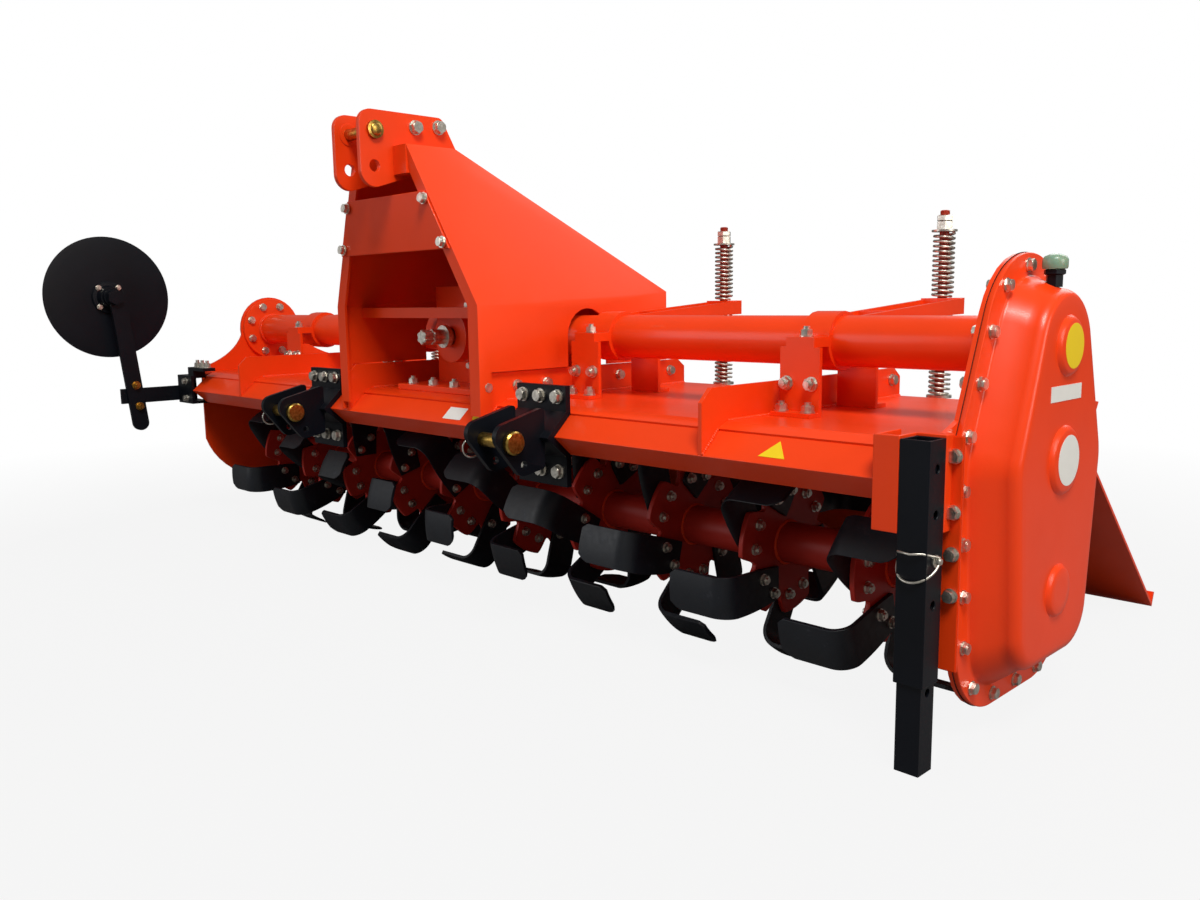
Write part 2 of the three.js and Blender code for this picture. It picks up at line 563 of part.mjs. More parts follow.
function standPin() {
  const r = 5.5;
  const reach = SLEEVE_OUT + 14;
  const stub = (s) => bar('x', r, STAND_X + Math.min(s * (h2() + 0.3), s * reach),
    STAND_X + Math.max(s * (h2() + 0.3), s * reach), STAND_Y, STAND_PIN_Z);
  const clip = new THREE.CatmullRomCurve3([
    new THREE.Vector3(STAND_X - reach + 3, STAND_Y, STAND_PIN_Z),
    new THREE.Vector3(STAND_X - reach + 1, STAND_Y - 26, STAND_PIN_Z - 14),
    new THREE.Vector3(STAND_X - 14, STAND_Y - 40, STAND_PIN_Z - 34),
    new THREE.Vector3(STAND_X + 14, STAND_Y - 40, STAND_PIN_Z - 34),
    new THREE.Vector3(STAND_X + reach - 1, STAND_Y - 26, STAND_PIN_Z - 14),
    new THREE.Vector3(STAND_X + reach - 3, STAND_Y, STAND_PIN_Z),
  ]);
  const ring = new THREE.Shape().absarc(0, 0, 2.6, 0, 2 * Math.PI);
  const wire = solid(new THREE.ExtrudeGeometry(ring, { steps: 18, extrudePath: clip, curveSegments: 3 }));
  return join(stub(-1), stub(1), wire);
}
function h2() {
  return LEG / 2;
}
piece('stand_pin', standPin(), STEEL);

// ---------------------------------------------------------------- disc coulter
function coulterBracket() {
  const x0 = ARM_X - ARM_T - GAP;
  const z = DECK_TOP - 66;
  const reach = box(x0 - ARM_T, x0, -484, -250, z - 23, z + 23);
  const plate = box(x0 - 0.5, -BEAM_HALF - GAP, -308, -252, z - 30, z + 58);
  const hollow = box(x0 + 8, -BEAM_HALF - GAP + 1, -300, -251, z - 22, z + 50);
  const clamp = box(-BEAM_HALF - 40, -BEAM_HALF + 76, -300, -262, DECK_TOP + 8, DECK_TOP + 18);
  const rise = box(-BEAM_HALF - 40, -BEAM_HALF - GAP, -300, -262, z + 50, DECK_TOP + 18);
  return join(reach, plate.subtract(hollow), clamp, rise);
}

function coulterArm() {
  const z = DECK_TOP - 66;
  const foot = [-436, z - 84];
  const head = [DISC_C[0] + 10, DISC_C[1] - 6];
  return plateYZ(band([[...foot, ARM_W / 2], [...head, ARM_W / 2]]), ARM_X - ARM_T, ARM_X)
    .subtract(bar('x', 15 + GAP, ARM_X - ARM_T - 1, ARM_X + 1, ...DISC_C));
}
piece('coulter_bracket', coulterBracket().subtract(
  box(ARM_X - ARM_T - GAP, ARM_X + 40, -484 - 1, -320, 0, DECK_TOP)), BLACK);
piece('coulter_arm', coulterArm(), BLACK);

const DISC_X = ARM_X - ARM_T - 46;
function coulterHub() {
  return join(
    bar('x', 15, DISC_X + 12, ARM_X + 12, ...DISC_C),
    bar('x', 24, ARM_X + GAP, ARM_X + 16, ...DISC_C, 24, 6),
    bar('x', 26, ARM_X - ARM_T - 12, ARM_X - ARM_T - GAP, ...DISC_C));
}
piece('coulter_axle', coulterHub(), STEEL);

function coulterDisc() {
  const edge = 0.8;
  const dish = new THREE.LatheGeometry([
    [0, -DISC_T / 2], [DISC_R - 22, -DISC_T / 2], [DISC_R, -edge], [DISC_R, edge],
    [DISC_R - 22, DISC_T / 2], [0, DISC_T / 2],
  ].map(([r, h]) => new THREE.Vector2(r, h)), 48);
  const disc = solid(dish.rotateZ(-Math.PI / 2).translate(DISC_X, ...DISC_C));
  const hub = join(bar('x', 46, DISC_X - 14, DISC_X + 14, ...DISC_C), bar('x', 34, DISC_X, DISC_X + 33, ...DISC_C));
  return join(disc, hub).subtract(bar('x', 16, DISC_X + 10, DISC_X + 40, ...DISC_C));
}
piece('coulter_disc', coulterDisc(), BLACK);

// ---------------------------------------------------------------- trailing board and its rods
function trailingBoard() {
  const half = WORK_HALF - 12;
  const [y, z] = HINGE;
  const sheet = plateYZ(fold([
    [BOARD_FOOT[0] + 8, BOARD_FOOT[1] + 22], BOARD_FOOT, BOARD_KNEE, [y + 2, z - 4]], SHEET), -half, half);
  const notches = HINGE_LUGS.map((x) => box(x - 12, x + 12, y - 30, y + 40, z - 36, z + 30));
  const rodHinge = bar('x', HINGE_R, -half, half, y, z, HINGE_R, 20);
  const lugs = ROD_XS.flatMap((x) => [-1, 1].map((s) =>
    plateYZ(band([[ROD_Y, LUG_PIN_Z, 14], [ROD_Y - 20, LUG_PIN_Z - 26, 12]], 0, 12),
      x + s * 19 - 4, x + s * 19 + 4)));
  const pins = ROD_XS.map((x) => bar('x', 7, x - 28, x + 28, ROD_Y, LUG_PIN_Z, 7, 10));
  return join(sheet.subtract(join(notches)), rodHinge, lugs, pins);
}
piece('trailing_board', trailingBoard(), ORANGE);

const NUT = 30;
function boardRod(x) {
  const foot = LUG_PIN_Z + 8;
  const seat = ROD_TOP - 44;
  return join(
    bar('z', ROD_R, foot, ROD_TOP, x, ROD_Y, ROD_R, 20),
    bar('z', SPRING_R + 3, ROD_COLLAR_Z - 8, ROD_COLLAR_Z, x, ROD_Y),
    bar('z', SPRING_R + 3, seat, seat + 6, x, ROD_Y),
    bar('z', NUT / 2 + 3, seat + 5, seat + 26, x, ROD_Y, NUT / 2 + 3, 6));
}

function spring(x, z0, z1) {
  return bar('z', SPRING_R, z0 + GAP, z1 - GAP, x, ROD_Y, SPRING_R, 16)
    .subtract(bar('z', SPRING_R - SPRING_WIRE, z0 - 1, z1 + 1, x, ROD_Y, SPRING_R - SPRING_WIRE, 16));
}
ROD_XS.forEach((x, i) => {
  piece(`board_rod_${i + 1}`, boardRod(x), STEEL);
  piece(`upper_spring_${i + 1}`, spring(x, ROD_BLOCK_Z[1], ROD_TOP - 44), STEEL);
  piece(`lower_spring_${i + 1}`, spring(x, ROD_COLLAR_Z, ROD_BLOCK_Z[0]), STEEL);
});

// ---------------------------------------------------------------- rotor
piece('rotor_tube', join(
  bar('x', ROTOR_TUBE_R, -WORK_HALF + 14, WORK_HALF - 14, ROTOR_Y, ROTOR_Z),
  bar('x', STUB_R, -WORK_HALF - SIDE_T - 30, WORK_HALF + SIDE_T + 40, ROTOR_Y, ROTOR_Z)), ROTOR_RED);

// Height of the tip along the shank, from the bolts, that puts its leading corner on BLADE_R.
function tipHeight() {
  const p = BLADE_BOLT_R;
  const c = p * Math.cos(BLADE_LEAN);
  const rest = BLADE_W ** 2 / 4 + p * p + p * BLADE_W * Math.sin(BLADE_LEAN) - BLADE_R ** 2;
  return -c + Math.sqrt(c * c - rest);
}
const TIP = tipHeight();
// How far the bolts are ahead of the leading corner.
const BOLTS_AHEAD = Math.atan2(
  TIP * Math.sin(BLADE_LEAN) - BLADE_W / 2 * Math.cos(BLADE_LEAN),
  BLADE_W / 2 * Math.sin(BLADE_LEAN) + TIP * Math.cos(BLADE_LEAN) + BLADE_BOLT_R);

// One blade, its bolts at an angle. The shank is on one face of the flange and the tip
// bends over the flange's rim towards side s.
function blade(angle, s) {
  const t = BLADE_T;
  const r = BLADE_BEND;
  const end = BLADE_REACH + FLANGE_T / 2;
  const cz = TIP - t - r;
  const profile = new THREE.Shape();
  profile.moveTo(0.5, -34);
  profile.lineTo(-t, -34);
  profile.lineTo(-t, cz);
  profile.absarc(r, cz, r + t, Math.PI, Math.PI / 2, true);
  profile.lineTo(end, TIP);
  profile.lineTo(end, TIP - t);
  profile.lineTo(r, TIP - t);
  profile.absarc(r, cz, r, Math.PI / 2, Math.PI, false);
  profile.lineTo(0.5, 12);
  const g = new THREE.ExtrudeGeometry(profile, { depth: BLADE_W, bevelEnabled: false, curveSegments: 2 });
  g.translate(0, 0, -BLADE_W / 2);
  const [long, wide] = BLADE_CORNER;
  const corner = new THREE.ExtrudeGeometry(outline([
    [end + 1, -BLADE_W / 2 - 1], [end + 1, wide - BLADE_W / 2], [end - long, -BLADE_W / 2 - 1],
  ]), { depth: t + 4, bevelEnabled: false });
  corner.rotateX(-Math.PI / 2).translate(0, TIP - t - 2, 0);
  const degrees = 180 / Math.PI;
  const m = solid(g).subtract(solid(corner)).translate([-FLANGE_T / 2, 0, 0])
    .rotate([90 - BLADE_LEAN * degrees, 0, 0])
    .translate([0, 0, BLADE_BOLT_R]).rotate([angle * degrees, 0, 0]);
  return s > 0 ? m : mirrorX(m);
}

function gang(k) {
  const x = (k - (GANGS - 1) / 2) * GANG_PITCH + GANG_SHIFT;
  const disc = bar('x', FLANGE_R, -FLANGE_T / 2, FLANGE_T / 2, 0, 0, FLANGE_R, 30)
    .subtract(bar('x', ROTOR_TUBE_R + GAP, -20, 20, 0, 0, ROTOR_TUBE_R + GAP));
  const turn = Math.PI + (k - GANGS + 2) * GANG_TURN; // the last but one stands on a corner
  const scallops = [];
  const blades = [];
  for (let j = 0; j < BLADES; j++) {
    const bolts = turn + 2 * Math.PI * j / BLADES + BOLTS_AHEAD;
    const b = bolts + Math.PI / BLADES;
    scallops.push(bar('x', 24, -10, 10, -Math.sin(b) * (FLANGE_R + 4), Math.cos(b) * (FLANGE_R + 4), 24, 12));
    blades.push(blade(bolts, j % 2 ? -1 : 1));
  }
  return join(disc.subtract(join(scallops)), blades).translate([x, ROTOR_Y, ROTOR_Z]);
}
for (let k = 0; k < GANGS; k++) piece(`rotor_gang_${String(k + 1).padStart(2, '0')}`, gang(k), BLADE_STEEL);

// ---------------------------------------------------------------- origin
const bounds = new THREE.Box3().setFromObject(group);
const centre = bounds.getCenter(new THREE.Vector3());
group.position.set(-centre.x, -centre.y, -bounds.min.z);

export default group;
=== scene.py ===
"""Rotary tiller: the finish, fasteners, springs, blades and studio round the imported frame."""
import math

import bmesh
import bpy
from bpy.props import FloatProperty, FloatVectorProperty, IntProperty, PointerProperty
from mathutils import Matrix, Vector


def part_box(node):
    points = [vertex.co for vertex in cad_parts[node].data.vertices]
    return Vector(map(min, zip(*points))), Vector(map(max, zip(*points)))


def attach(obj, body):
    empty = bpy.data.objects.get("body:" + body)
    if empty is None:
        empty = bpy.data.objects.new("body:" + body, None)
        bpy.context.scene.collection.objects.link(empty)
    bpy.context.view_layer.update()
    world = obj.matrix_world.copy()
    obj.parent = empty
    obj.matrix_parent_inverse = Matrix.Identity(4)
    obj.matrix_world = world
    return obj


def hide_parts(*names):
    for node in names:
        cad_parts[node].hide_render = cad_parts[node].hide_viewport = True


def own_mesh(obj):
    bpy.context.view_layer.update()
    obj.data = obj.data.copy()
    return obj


bl_info = {
    "name": "Rotary tiller",
    "version": (1, 0, 0),
    "blender": (4, 5, 0),
    "location": "View3D > Sidebar > Tiller",
    "description": "Builds the visible pieces of a tractor-mounted rotary tiller",
    "category": "Object",
}

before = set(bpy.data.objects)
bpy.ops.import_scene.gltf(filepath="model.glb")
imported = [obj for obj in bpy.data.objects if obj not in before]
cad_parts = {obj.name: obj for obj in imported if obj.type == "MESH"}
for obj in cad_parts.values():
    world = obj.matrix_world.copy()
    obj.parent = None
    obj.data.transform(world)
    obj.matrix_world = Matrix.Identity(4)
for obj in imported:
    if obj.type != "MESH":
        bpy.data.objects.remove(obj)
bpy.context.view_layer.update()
MM = 0.001


# ---------------------------------------------------------------- places taken from the frame
def low(node):
    return Vector(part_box(node)[0])


def high(node):
    return Vector(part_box(node)[1])


def middle(node):
    return (low(node) + high(node)) / 2


TUBE = middle("main_tube_right")
ROTOR = middle("rotor_tube")
ORIGIN = Vector(((low("main_tube_left").x + high("main_tube_right").x) / 2, TUBE.y, 0.0))
TUBE_Z = TUBE.z / MM
ROTOR_Y = (ROTOR.y - TUBE.y) / MM
ROTOR_Z = ROTOR.z / MM
DECK_TOP = high("hood").z / MM - 542
DISC = middle("coulter_disc")
GANGS = sorted(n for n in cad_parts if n.startswith("rotor_gang_"))


def at(x, y, z):
    """A place in millimetres from the ground point under the main tube, in the frame's metres."""
    return ORIGIN + Vector((x, y, z)) * MM


def side(node, axis, end):
    """The coordinate of one side of a node's box, in millimetres from the ground point."""
    corner = high(node) if end > 0 else low(node)
    return (corner[axis] - ORIGIN[axis]) / MM


# ---------------------------------------------------------------- user's sizes and colours
def colour(name, description, code):
    return FloatVectorProperty(name=name, description=description, subtype="COLOR",
                               size=3, min=0.0, max=1.0, default=linear(code))


def linear(code):
    """An sRGB hex colour as linear red, green and blue."""
    parts = [int(code[i:i + 2], 16) / 255 for i in (1, 3, 5)]
    return tuple(c / 12.92 if c <= 0.04045 else ((c + 0.055) / 1.055) ** 2.4 for c in parts)


class TillerColours(bpy.types.PropertyGroup):
    body: colour("Body enamel", "Gloss enamel on the hood, deck and gear case", "#F24210")
    rotor: colour("Rotor enamel", "Thin enamel on the rotor tube and flanges", "#C02C20")
    black: colour("Black enamel", "Satin enamel on the hitch, stand and coulter", "#0C0F16")
    blade: colour("Blade dip", "Black dip on the blades", "#10151E")


class TillerSizes(bpy.types.PropertyGroup):
    bolt_flats: FloatProperty(name="Bolt flats", description="Across the flats of a common bolt",
                              default=0.019, min=0.008, max=0.04, subtype="DISTANCE")
    edge: FloatProperty(name="Edge", description="Softened edge of a sheet",
                        default=0.0016, min=0.0002, max=0.006, subtype="DISTANCE")
    coils: IntProperty(name="Coils", description="Turns in an upper rod spring", default=13, min=4, max=30)
    wire: FloatProperty(name="Wire", description="Wire diameter of a rod spring",
                        default=0.0058, min=0.003, max=0.009, subtype="DISTANCE")


def sizes():
    return bpy.context.scene.tiller_sizes


def colours():
    return bpy.context.scene.tiller_colours


# ---------------------------------------------------------------- materials
def add(tree, kind, inputs=None, **settings):
    """Adds one node with its settings; each input is a value, or a socket to link from."""
    node = tree.nodes.new(kind)
    for key, value in settings.items():
        setattr(node, key, value)
    for key, value in (inputs or {}).items():
        if isinstance(value, bpy.types.NodeSocket):
            tree.links.new(value, node.inputs[key])
        else:
            node.inputs[key].default_value = value
    return node


def scaled(shade, k):
    return tuple(min(1.0, c * k) for c in shade)


def surface(name, **sockets):
    """A new material with a Principled surface, and its object coordinates."""
    old = bpy.data.materials.get(name)
    if old:
        bpy.data.materials.remove(old)
    material = bpy.data.materials.new(name)
    material.use_nodes = True
    tree = material.node_tree
    shader = tree.nodes["Principled BSDF"]
    for key, value in sockets.items():
        shader.inputs[key.replace("_", " ")].default_value = value
    return material, tree, shader, add(tree, "ShaderNodeTexCoord").outputs["Object"]


def layered(name, layers, **sockets):
    """A surface where each layer of noise drives one of the shader's sockets.

    A layer is the socket; the noise's feature size in metres, detail and roughness; and then
    the colour stops, the range of roughness, or the strength and depth of the relief.
    """
    material, tree, shader, place = surface(name, **sockets)
    for socket, (size, detail, rough), use in layers:
        cloud = add(tree, "ShaderNodeTexNoise", {
            "Scale": 1 / size, "Detail": detail, "Roughness": rough, "Vector": place}).outputs["Fac"]
        if socket == "Normal":
            node = add(tree, "ShaderNodeBump", {"Strength": use[0], "Distance": use[1], "Height": cloud})
        elif socket == "Roughness":
            node = add(tree, "ShaderNodeMapRange", {"To Min": use[0], "To Max": use[1], "Value": cloud})
        else:
            node = add(tree, "ShaderNodeValToRGB", {"Fac": cloud})
            points = node.color_ramp.elements
            while len(points) < len(use):
                points.new(0.5)
            for point, (spot, shade) in zip(points, use):
                point.position = spot
                point.color = (*shade, 1.0)
        tree.links.new(node.outputs[0], shader.inputs[socket])
    return material


def enamel(name, shade, rough, drift, coat=0.0, shine=0.5):
    """Sprayed enamel on steel: even colour, faint orange peel and a slightly uneven gloss."""
    return layered(name, [
        ("Base Color", (0.22, 3, 0.5), [(0.3, scaled(shade, 1 - drift)), (0.7, scaled(shade, 1 + drift))]),
        ("Roughness", (0.05, 3, 0.5), (rough - 0.05, rough + 0.07)),
        # orange peel, drawn coarse enough to show
        ("Normal", (0.004, 2, 0.5), (0.05, 0.0006)),
    ], IOR=1.5, Coat_Weight=coat, Coat_Roughness=0.06, Specular_IOR_Level=shine)


def plated(name, bright, dark, rough, speck=0.01):
    """Zinc-plated steel: a metal with crystalline patches and fine handling marks."""
    return layered(name, [
        ("Base Color", (speck, 4, 0.5), [(0.3, dark), (0.7, bright)]),
        ("Roughness", (0.004, 5, 0.5), (rough - 0.08, rough + 0.12)),
        ("Normal", (0.0015, 3, 0.5), (0.12, 0.0002)),
    ], Metallic=1.0)


def blade_dip(name, shade):
    """Hardened spring steel dipped in thin black paint, rubbed to bare steel in patches."""
    wear = (0.035, 8, 0.65)
    return layered(name, [
        ("Base Color", wear, [(0.35, scaled(shade, 0.7)), (0.62, shade), (0.74, linear("#4A4C52"))]),
        ("Metallic", wear, [(0.60, (0, 0, 0)), (0.72, (0.7, 0.7, 0.7))]),
        ("Roughness", (0.012, 5, 0.5), (0.34, 0.6)),
        # mill scale under the dip
        ("Normal", (0.006, 6, 0.5), (0.25, 0.0005)),
    ], IOR=1.5)


def vinyl(name, shade):
    """A blank vinyl label: even colour with a soft satin face."""
    return layered(name, [("Base Color", (0.02, 3, 0.5), [(0.2, scaled(shade, 0.96)), (0.8, shade)])],
                   IOR=1.46, Roughness=0.4)


def clear_plastic(name, shade):
    """Moulded polypropylene cap: tinted, lets light through and is slightly cloudy."""
    return layered(name, [("Base Color", (0.01, 3, 0.5), [(0.3, scaled(shade, 0.85)), (0.7, shade)])],
                   IOR=1.49, Roughness=0.25, Transmission_Weight=0.35, Subsurface_Weight=0.15)


def gasket_paper(name, shade):
    """Fibre gasket squeezed between machined flanges: matt, dark and slightly ragged."""
    return layered(name, [("Base Color", (0.003, 5, 0.5), [(0.3, scaled(shade, 0.7)), (0.7, shade)]),
                          ("Normal", (0.002, 4, 0.5), (0.3, 0.0004))], Roughness=0.85)


FINISH = {}


def make_finishes():
    paint = colours()
    FINISH.update(
        # smooth saturated orange with a soft gloss along the folds
        body=enamel("orange enamel on sheet steel", tuple(paint.body), 0.30, 0.05, 0.08, 0.32),
        # a deeper and duller red, uneven where the spray is thin
        rotor=enamel("thin red enamel on rotor steel", tuple(paint.rotor), 0.42, 0.18, shine=0.3),
        # near black with a soft sheen that shows the plate edges
        black=enamel("satin black enamel on steel", tuple(paint.black), 0.38, 0.3, shine=0.2),
        # dark and patchy, with bare steel showing through in places
        blade=blade_dip("black-dipped hardened steel", tuple(paint.blade)),
        # pale bright metal that picks the bolts out from the paint
        zinc=plated("bright zinc-plated steel", linear("#F2EEE4"), linear("#BDB8AC"), 0.34),
        # warm brassy metal on the hitch pins
        gold=plated("yellow-passivated zinc", linear("#D8B45E"), linear("#9A7430"), 0.30, 0.006),
        # greyer metal, so that each coil reads against the rod
        spring=plated("zinc-plated spring steel", linear("#E6E0D6"), linear("#A09A90"), 0.36),
        # dull red inside the bright springs
        rod=enamel("red enamel on rod", linear("#A5321F"), 0.45, 0.25),
        # flat clean yellow patches
        yellow=vinyl("blank yellow vinyl", linear("#F4D21E")),
        # flat off-white patches
        white=vinyl("blank white vinyl", linear("#ECEBE6")),
        # pale green and slightly see-through on the breather
        cap=clear_plastic("tinted polypropylene", linear("#9CC2A6")),
        # a thin dark line round the gear case
        gasket=gasket_paper("black gasket paper", linear("#2A1512")),
    )


# ---------------------------------------------------------------- mesh helpers
def new_piece(name, mesh, finish, body, *nodes):
    """Links a finished mesh as a piece that rides on a body and may replace CAD nodes."""
    piece = bpy.data.objects.new(name, mesh)
    bpy.context.scene.collection.objects.link(piece)
    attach(piece, body)
    if nodes:
        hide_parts(*nodes)
    return piece


def smooth(mesh, angle):
    """Smooth faces, with edges sharp past an angle in degrees."""
    mesh.polygons.foreach_set("use_smooth", [True] * len(mesh.polygons))
    mesh.set_sharp_from_angle(angle=math.radians(angle))


def mesh_of(bm, name, finish, angle=35):
    """Turns a bmesh into a mesh with one material."""
    mesh = bpy.data.meshes.new(name)
    bm.normal_update()
    bm.to_mesh(mesh)
    bm.free()
    mesh.materials.append(FINISH[finish])
    smooth(mesh, angle)
    return mesh


def outwards(bm):
    bmesh.ops.recalc_face_normals(bm, faces=bm.faces)


def piece_of(bm, name, finish, *nodes, body="frame", angle=35):
    """Makes a bmesh a piece, with its faces turned outwards."""
    outwards(bm)
    return new_piece(name, mesh_of(bm, name, finish, angle), finish, body, *nodes)


def softened(name, finish, width=None, body="frame"):
    """A copy of a CAD node with small rounded edges, so that its sheets catch the light."""
    bm = bmesh.new()
    bm.from_mesh(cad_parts[name].data)
    bmesh.ops.remove_doubles(bm, verts=bm.verts, dist=2e-5)
    bmesh.ops.dissolve_limit(bm, angle_limit=math.radians(1.0), verts=bm.verts, edges=bm.edges)
    bm.normal_update()
    sharp = [e for e in bm.edges if len(e.link_faces) == 2
             and e.calc_face_angle(0) > math.radians(28) and e.calc_length() > 0.002]
    bmesh.ops.bevel(bm, geom=sharp, offset=width or sizes().edge, segments=2, profile=0.6,
                    affect="EDGES", clamp_overlap=True)
    bmesh.ops.triangulate(bm, faces=[f for f in bm.faces if len(f.verts) > 4])
    piece = new_piece(f"{name}_finished", mesh_of(bm, name, finish), finish, body, name)
    even = piece.modifiers.new("Flat faces", "WEIGHTED_NORMAL")
    even.keep_sharp, even.weight = True, 80


def around(count, start=0.0):
    """The cosine and sine of evenly spaced turns."""
    for i in range(count):
        t = start + 2 * math.pi * i / count
        yield math.cos(t), math.sin(t)


def band(circles, grow=0.0, steps=120):
    """The outline round a set of circles (a, b, radius), as points by the angle of their normal."""
    points = []
    for c, s in around(steps):
        a, b, r = max(circles, key=lambda o: o[0] * c + o[1] * s + o[2])
        points.append((a + (r + grow) * c, b + (r + grow) * s))
    return points


def even(points, count):
    """Evenly spaced points along a closed outline."""
    closed = points + points[:1]
    lengths = [0.0]
    for p, q in zip(closed, closed[1:]):
        lengths.append(lengths[-1] + math.dist(p, q))
    found, i = [], 0
    for k in range(count):
        goal = lengths[-1] * k / count
        while lengths[i + 1] < goal:
            i += 1
        f = (goal - lengths[i]) / (lengths[i + 1] - lengths[i] or 1.0)
        found.append(tuple(a + (b - a) * f for a, b in zip(closed[i], closed[i + 1])))
    return found


def loft(bm, rings, caps=True):
    """Joins closed rings of points with quads, and closes the ends."""
    loops = [[bm.verts.new(p) for p in ring] for ring in rings]
    for one, two in zip(loops, loops[1:]):
        count = len(one)
        for i in range(count):
            j = (i + 1) % count
            bm.faces.new((one[i], one[j], two[j], two[i]))
    if caps:
        bm.faces.new(list(reversed(loops[0])))
        bm.faces.new(loops[-1])


def lofted(name, finish, rings, *nodes, **options):
    bm = bmesh.new()
    loft(bm, rings)
    return piece_of(bm, name, finish, *nodes, **options)


def turned(bm, profile, axis, place, steps):
    """A lathe form: profile of (radius, height) in mm about an axis letter through a place."""
    order = {"x": lambda r, s, h: Vector((h, r, s)), "z": lambda r, s, h: Vector((r, s, h))}[axis]
    loft(bm, [[place + order(radius * c, radius * s, height) * MM for c, s in around(steps)]
              for radius, height in profile])


def lathe(name, finish, forms, *nodes, **options):
    """A piece of one or more lathe forms, each as turned() takes it."""
    bm = bmesh.new()
    for form in forms:
        turned(bm, *form)
    return piece_of(bm, name, finish, *nodes, **options)


def slab(name, finish, centre, size, rounding=0.0):
    """A flat rectangular plate, its edges rounded."""
    bm = bmesh.new()
    bmesh.ops.create_cube(bm, size=1, matrix=Matrix.Translation(centre) @ Matrix.Diagonal((*size, 1)))
    if rounding:
        bmesh.ops.bevel(bm, geom=bm.edges[:], offset=rounding, segments=2, affect="EDGES")
    return piece_of(bm, name, finish)


def wire(name, path, radius, sides=10, closed=False):
    """A piece of round zinc-plated wire along a path of places."""
    count = len(path)
    lean = Vector((0.31, 0.17, 0.93)).normalized()
    rings = []
    for i, p in enumerate(path):
        ahead = path[(i + 1) % count] if closed or i < count - 1 else p
        behind = path[i - 1] if closed or i else p
        along = (ahead - behind).normalized()
        one = along.cross(lean).normalized()
        two = along.cross(one)
        rings.append([p + (one * c + two * s) * radius for c, s in around(sides)])
    if closed:
        rings.append(rings[0])
    bm = bmesh.new()
    loft(bm, rings, not closed)
    bmesh.ops.remove_doubles(bm, verts=bm.verts, dist=1e-6)
    return piece_of(bm, name, "zinc", angle=60)


# ---------------------------------------------------------------- node trees
def geometry_tree(name, **inputs):
    """A geometry node group with named inputs, among them one for its material."""
    tree = bpy.data.node_groups.new(name, "GeometryNodeTree")
    kinds = {float: "Float", tuple: "Vector", type(None): "Object"}
    for end in ("INPUT", "OUTPUT"):
        tree.interface.new_socket("Geometry", in_out=end, socket_type="NodeSocketGeometry")
    tree.interface.new_socket("Material", in_out="INPUT", socket_type="NodeSocketMaterial")
    for label, value in inputs.items():
        socket = tree.interface.new_socket(label, in_out="INPUT", socket_type="NodeSocket" + kinds[type(value)])
        if value is not None:
            socket.default_value = value
    return tree, add(tree, "NodeGroupInput").outputs


def closing(tree, given, geometry):
    """Ends a tree in real geometry with its material set."""
    real = add(tree, "GeometryNodeRealizeInstances", {"Geometry": geometry.outputs[0]})
    done = add(tree, "GeometryNodeSetMaterial", {"Geometry": real.outputs[0], "Material": given["Material"]})
    add(tree, "NodeGroupOutput", {"Geometry": done.outputs[0]})
    return tree


def bolt_tree():
    """Hex bolt heads with washers on points, turned to each point's own direction."""
    tree, given = geometry_tree("Hex bolts", Flats=0.019, Height=0.010, Washer=0.0025, Stud=0.0)
    bolt = add(tree, "GeometryNodeJoinGeometry")
    # the washer, head, crown and stud: sides, radius as a share of the flats, the size that gives
    # the height with its share and what is added, and the share of the head's height below it
    for sides, wide, tall, share, extra, below in (
            (20, 0.66, "Washer", 1.0, 0.0, None), (6, 0.577, "Height", 0.86, 0.0, 0.0),
            (18, 0.49, "Height", 0.15, 0.0, 0.85), (12, 0.31, "Stud", 1.0, 0.0002, 1.0)):
        foot = 0.0
        if below is not None:
            foot = add(tree, "ShaderNodeMath", {0: given["Height"], 1: below, 2: given["Washer"]},
                       operation="MULTIPLY_ADD").outputs[0]
        radius = add(tree, "ShaderNodeMath", {0: given["Flats"], 1: wide}, operation="MULTIPLY").outputs[0]
        height = add(tree, "ShaderNodeMath", {0: given[tall], 1: share, 2: extra},
                     operation="MULTIPLY_ADD").outputs[0]
        rise = add(tree, "ShaderNodeMath", {0: height, 1: 0.5, 2: foot}, operation="MULTIPLY_ADD")
        lift = add(tree, "ShaderNodeCombineXYZ", {"Z": rise.outputs[0]})
        drum = add(tree, "GeometryNodeMeshCylinder", {"Vertices": sides, "Radius": radius, "Depth": height})
        part = add(tree, "GeometryNodeTransform", {"Geometry": drum.outputs[0], "Translation": lift.outputs[0]})
        tree.links.new(part.outputs[0], bolt.inputs[0])
    facing = add(tree, "GeometryNodeInputNamedAttribute", {"Name": "facing"}, data_type="FLOAT_VECTOR")
    turn = add(tree, "FunctionNodeAlignRotationToVector", {"Vector": facing.outputs["Attribute"]}, axis="Z")
    placed = add(tree, "GeometryNodeInstanceOnPoints", {
        "Points": given["Geometry"], "Instance": bolt.outputs[0], "Rotation": turn.outputs[0]})
    spin = add(tree, "FunctionNodeRandomValue", {"Max": (0.0, 0.0, 1.05), "Seed": 7}, data_type="FLOAT_VECTOR")
    return closing(tree, given, add(tree, "GeometryNodeRotateInstances", {
        "Instances": placed.outputs[0], "Rotation": spin.outputs[0]}))


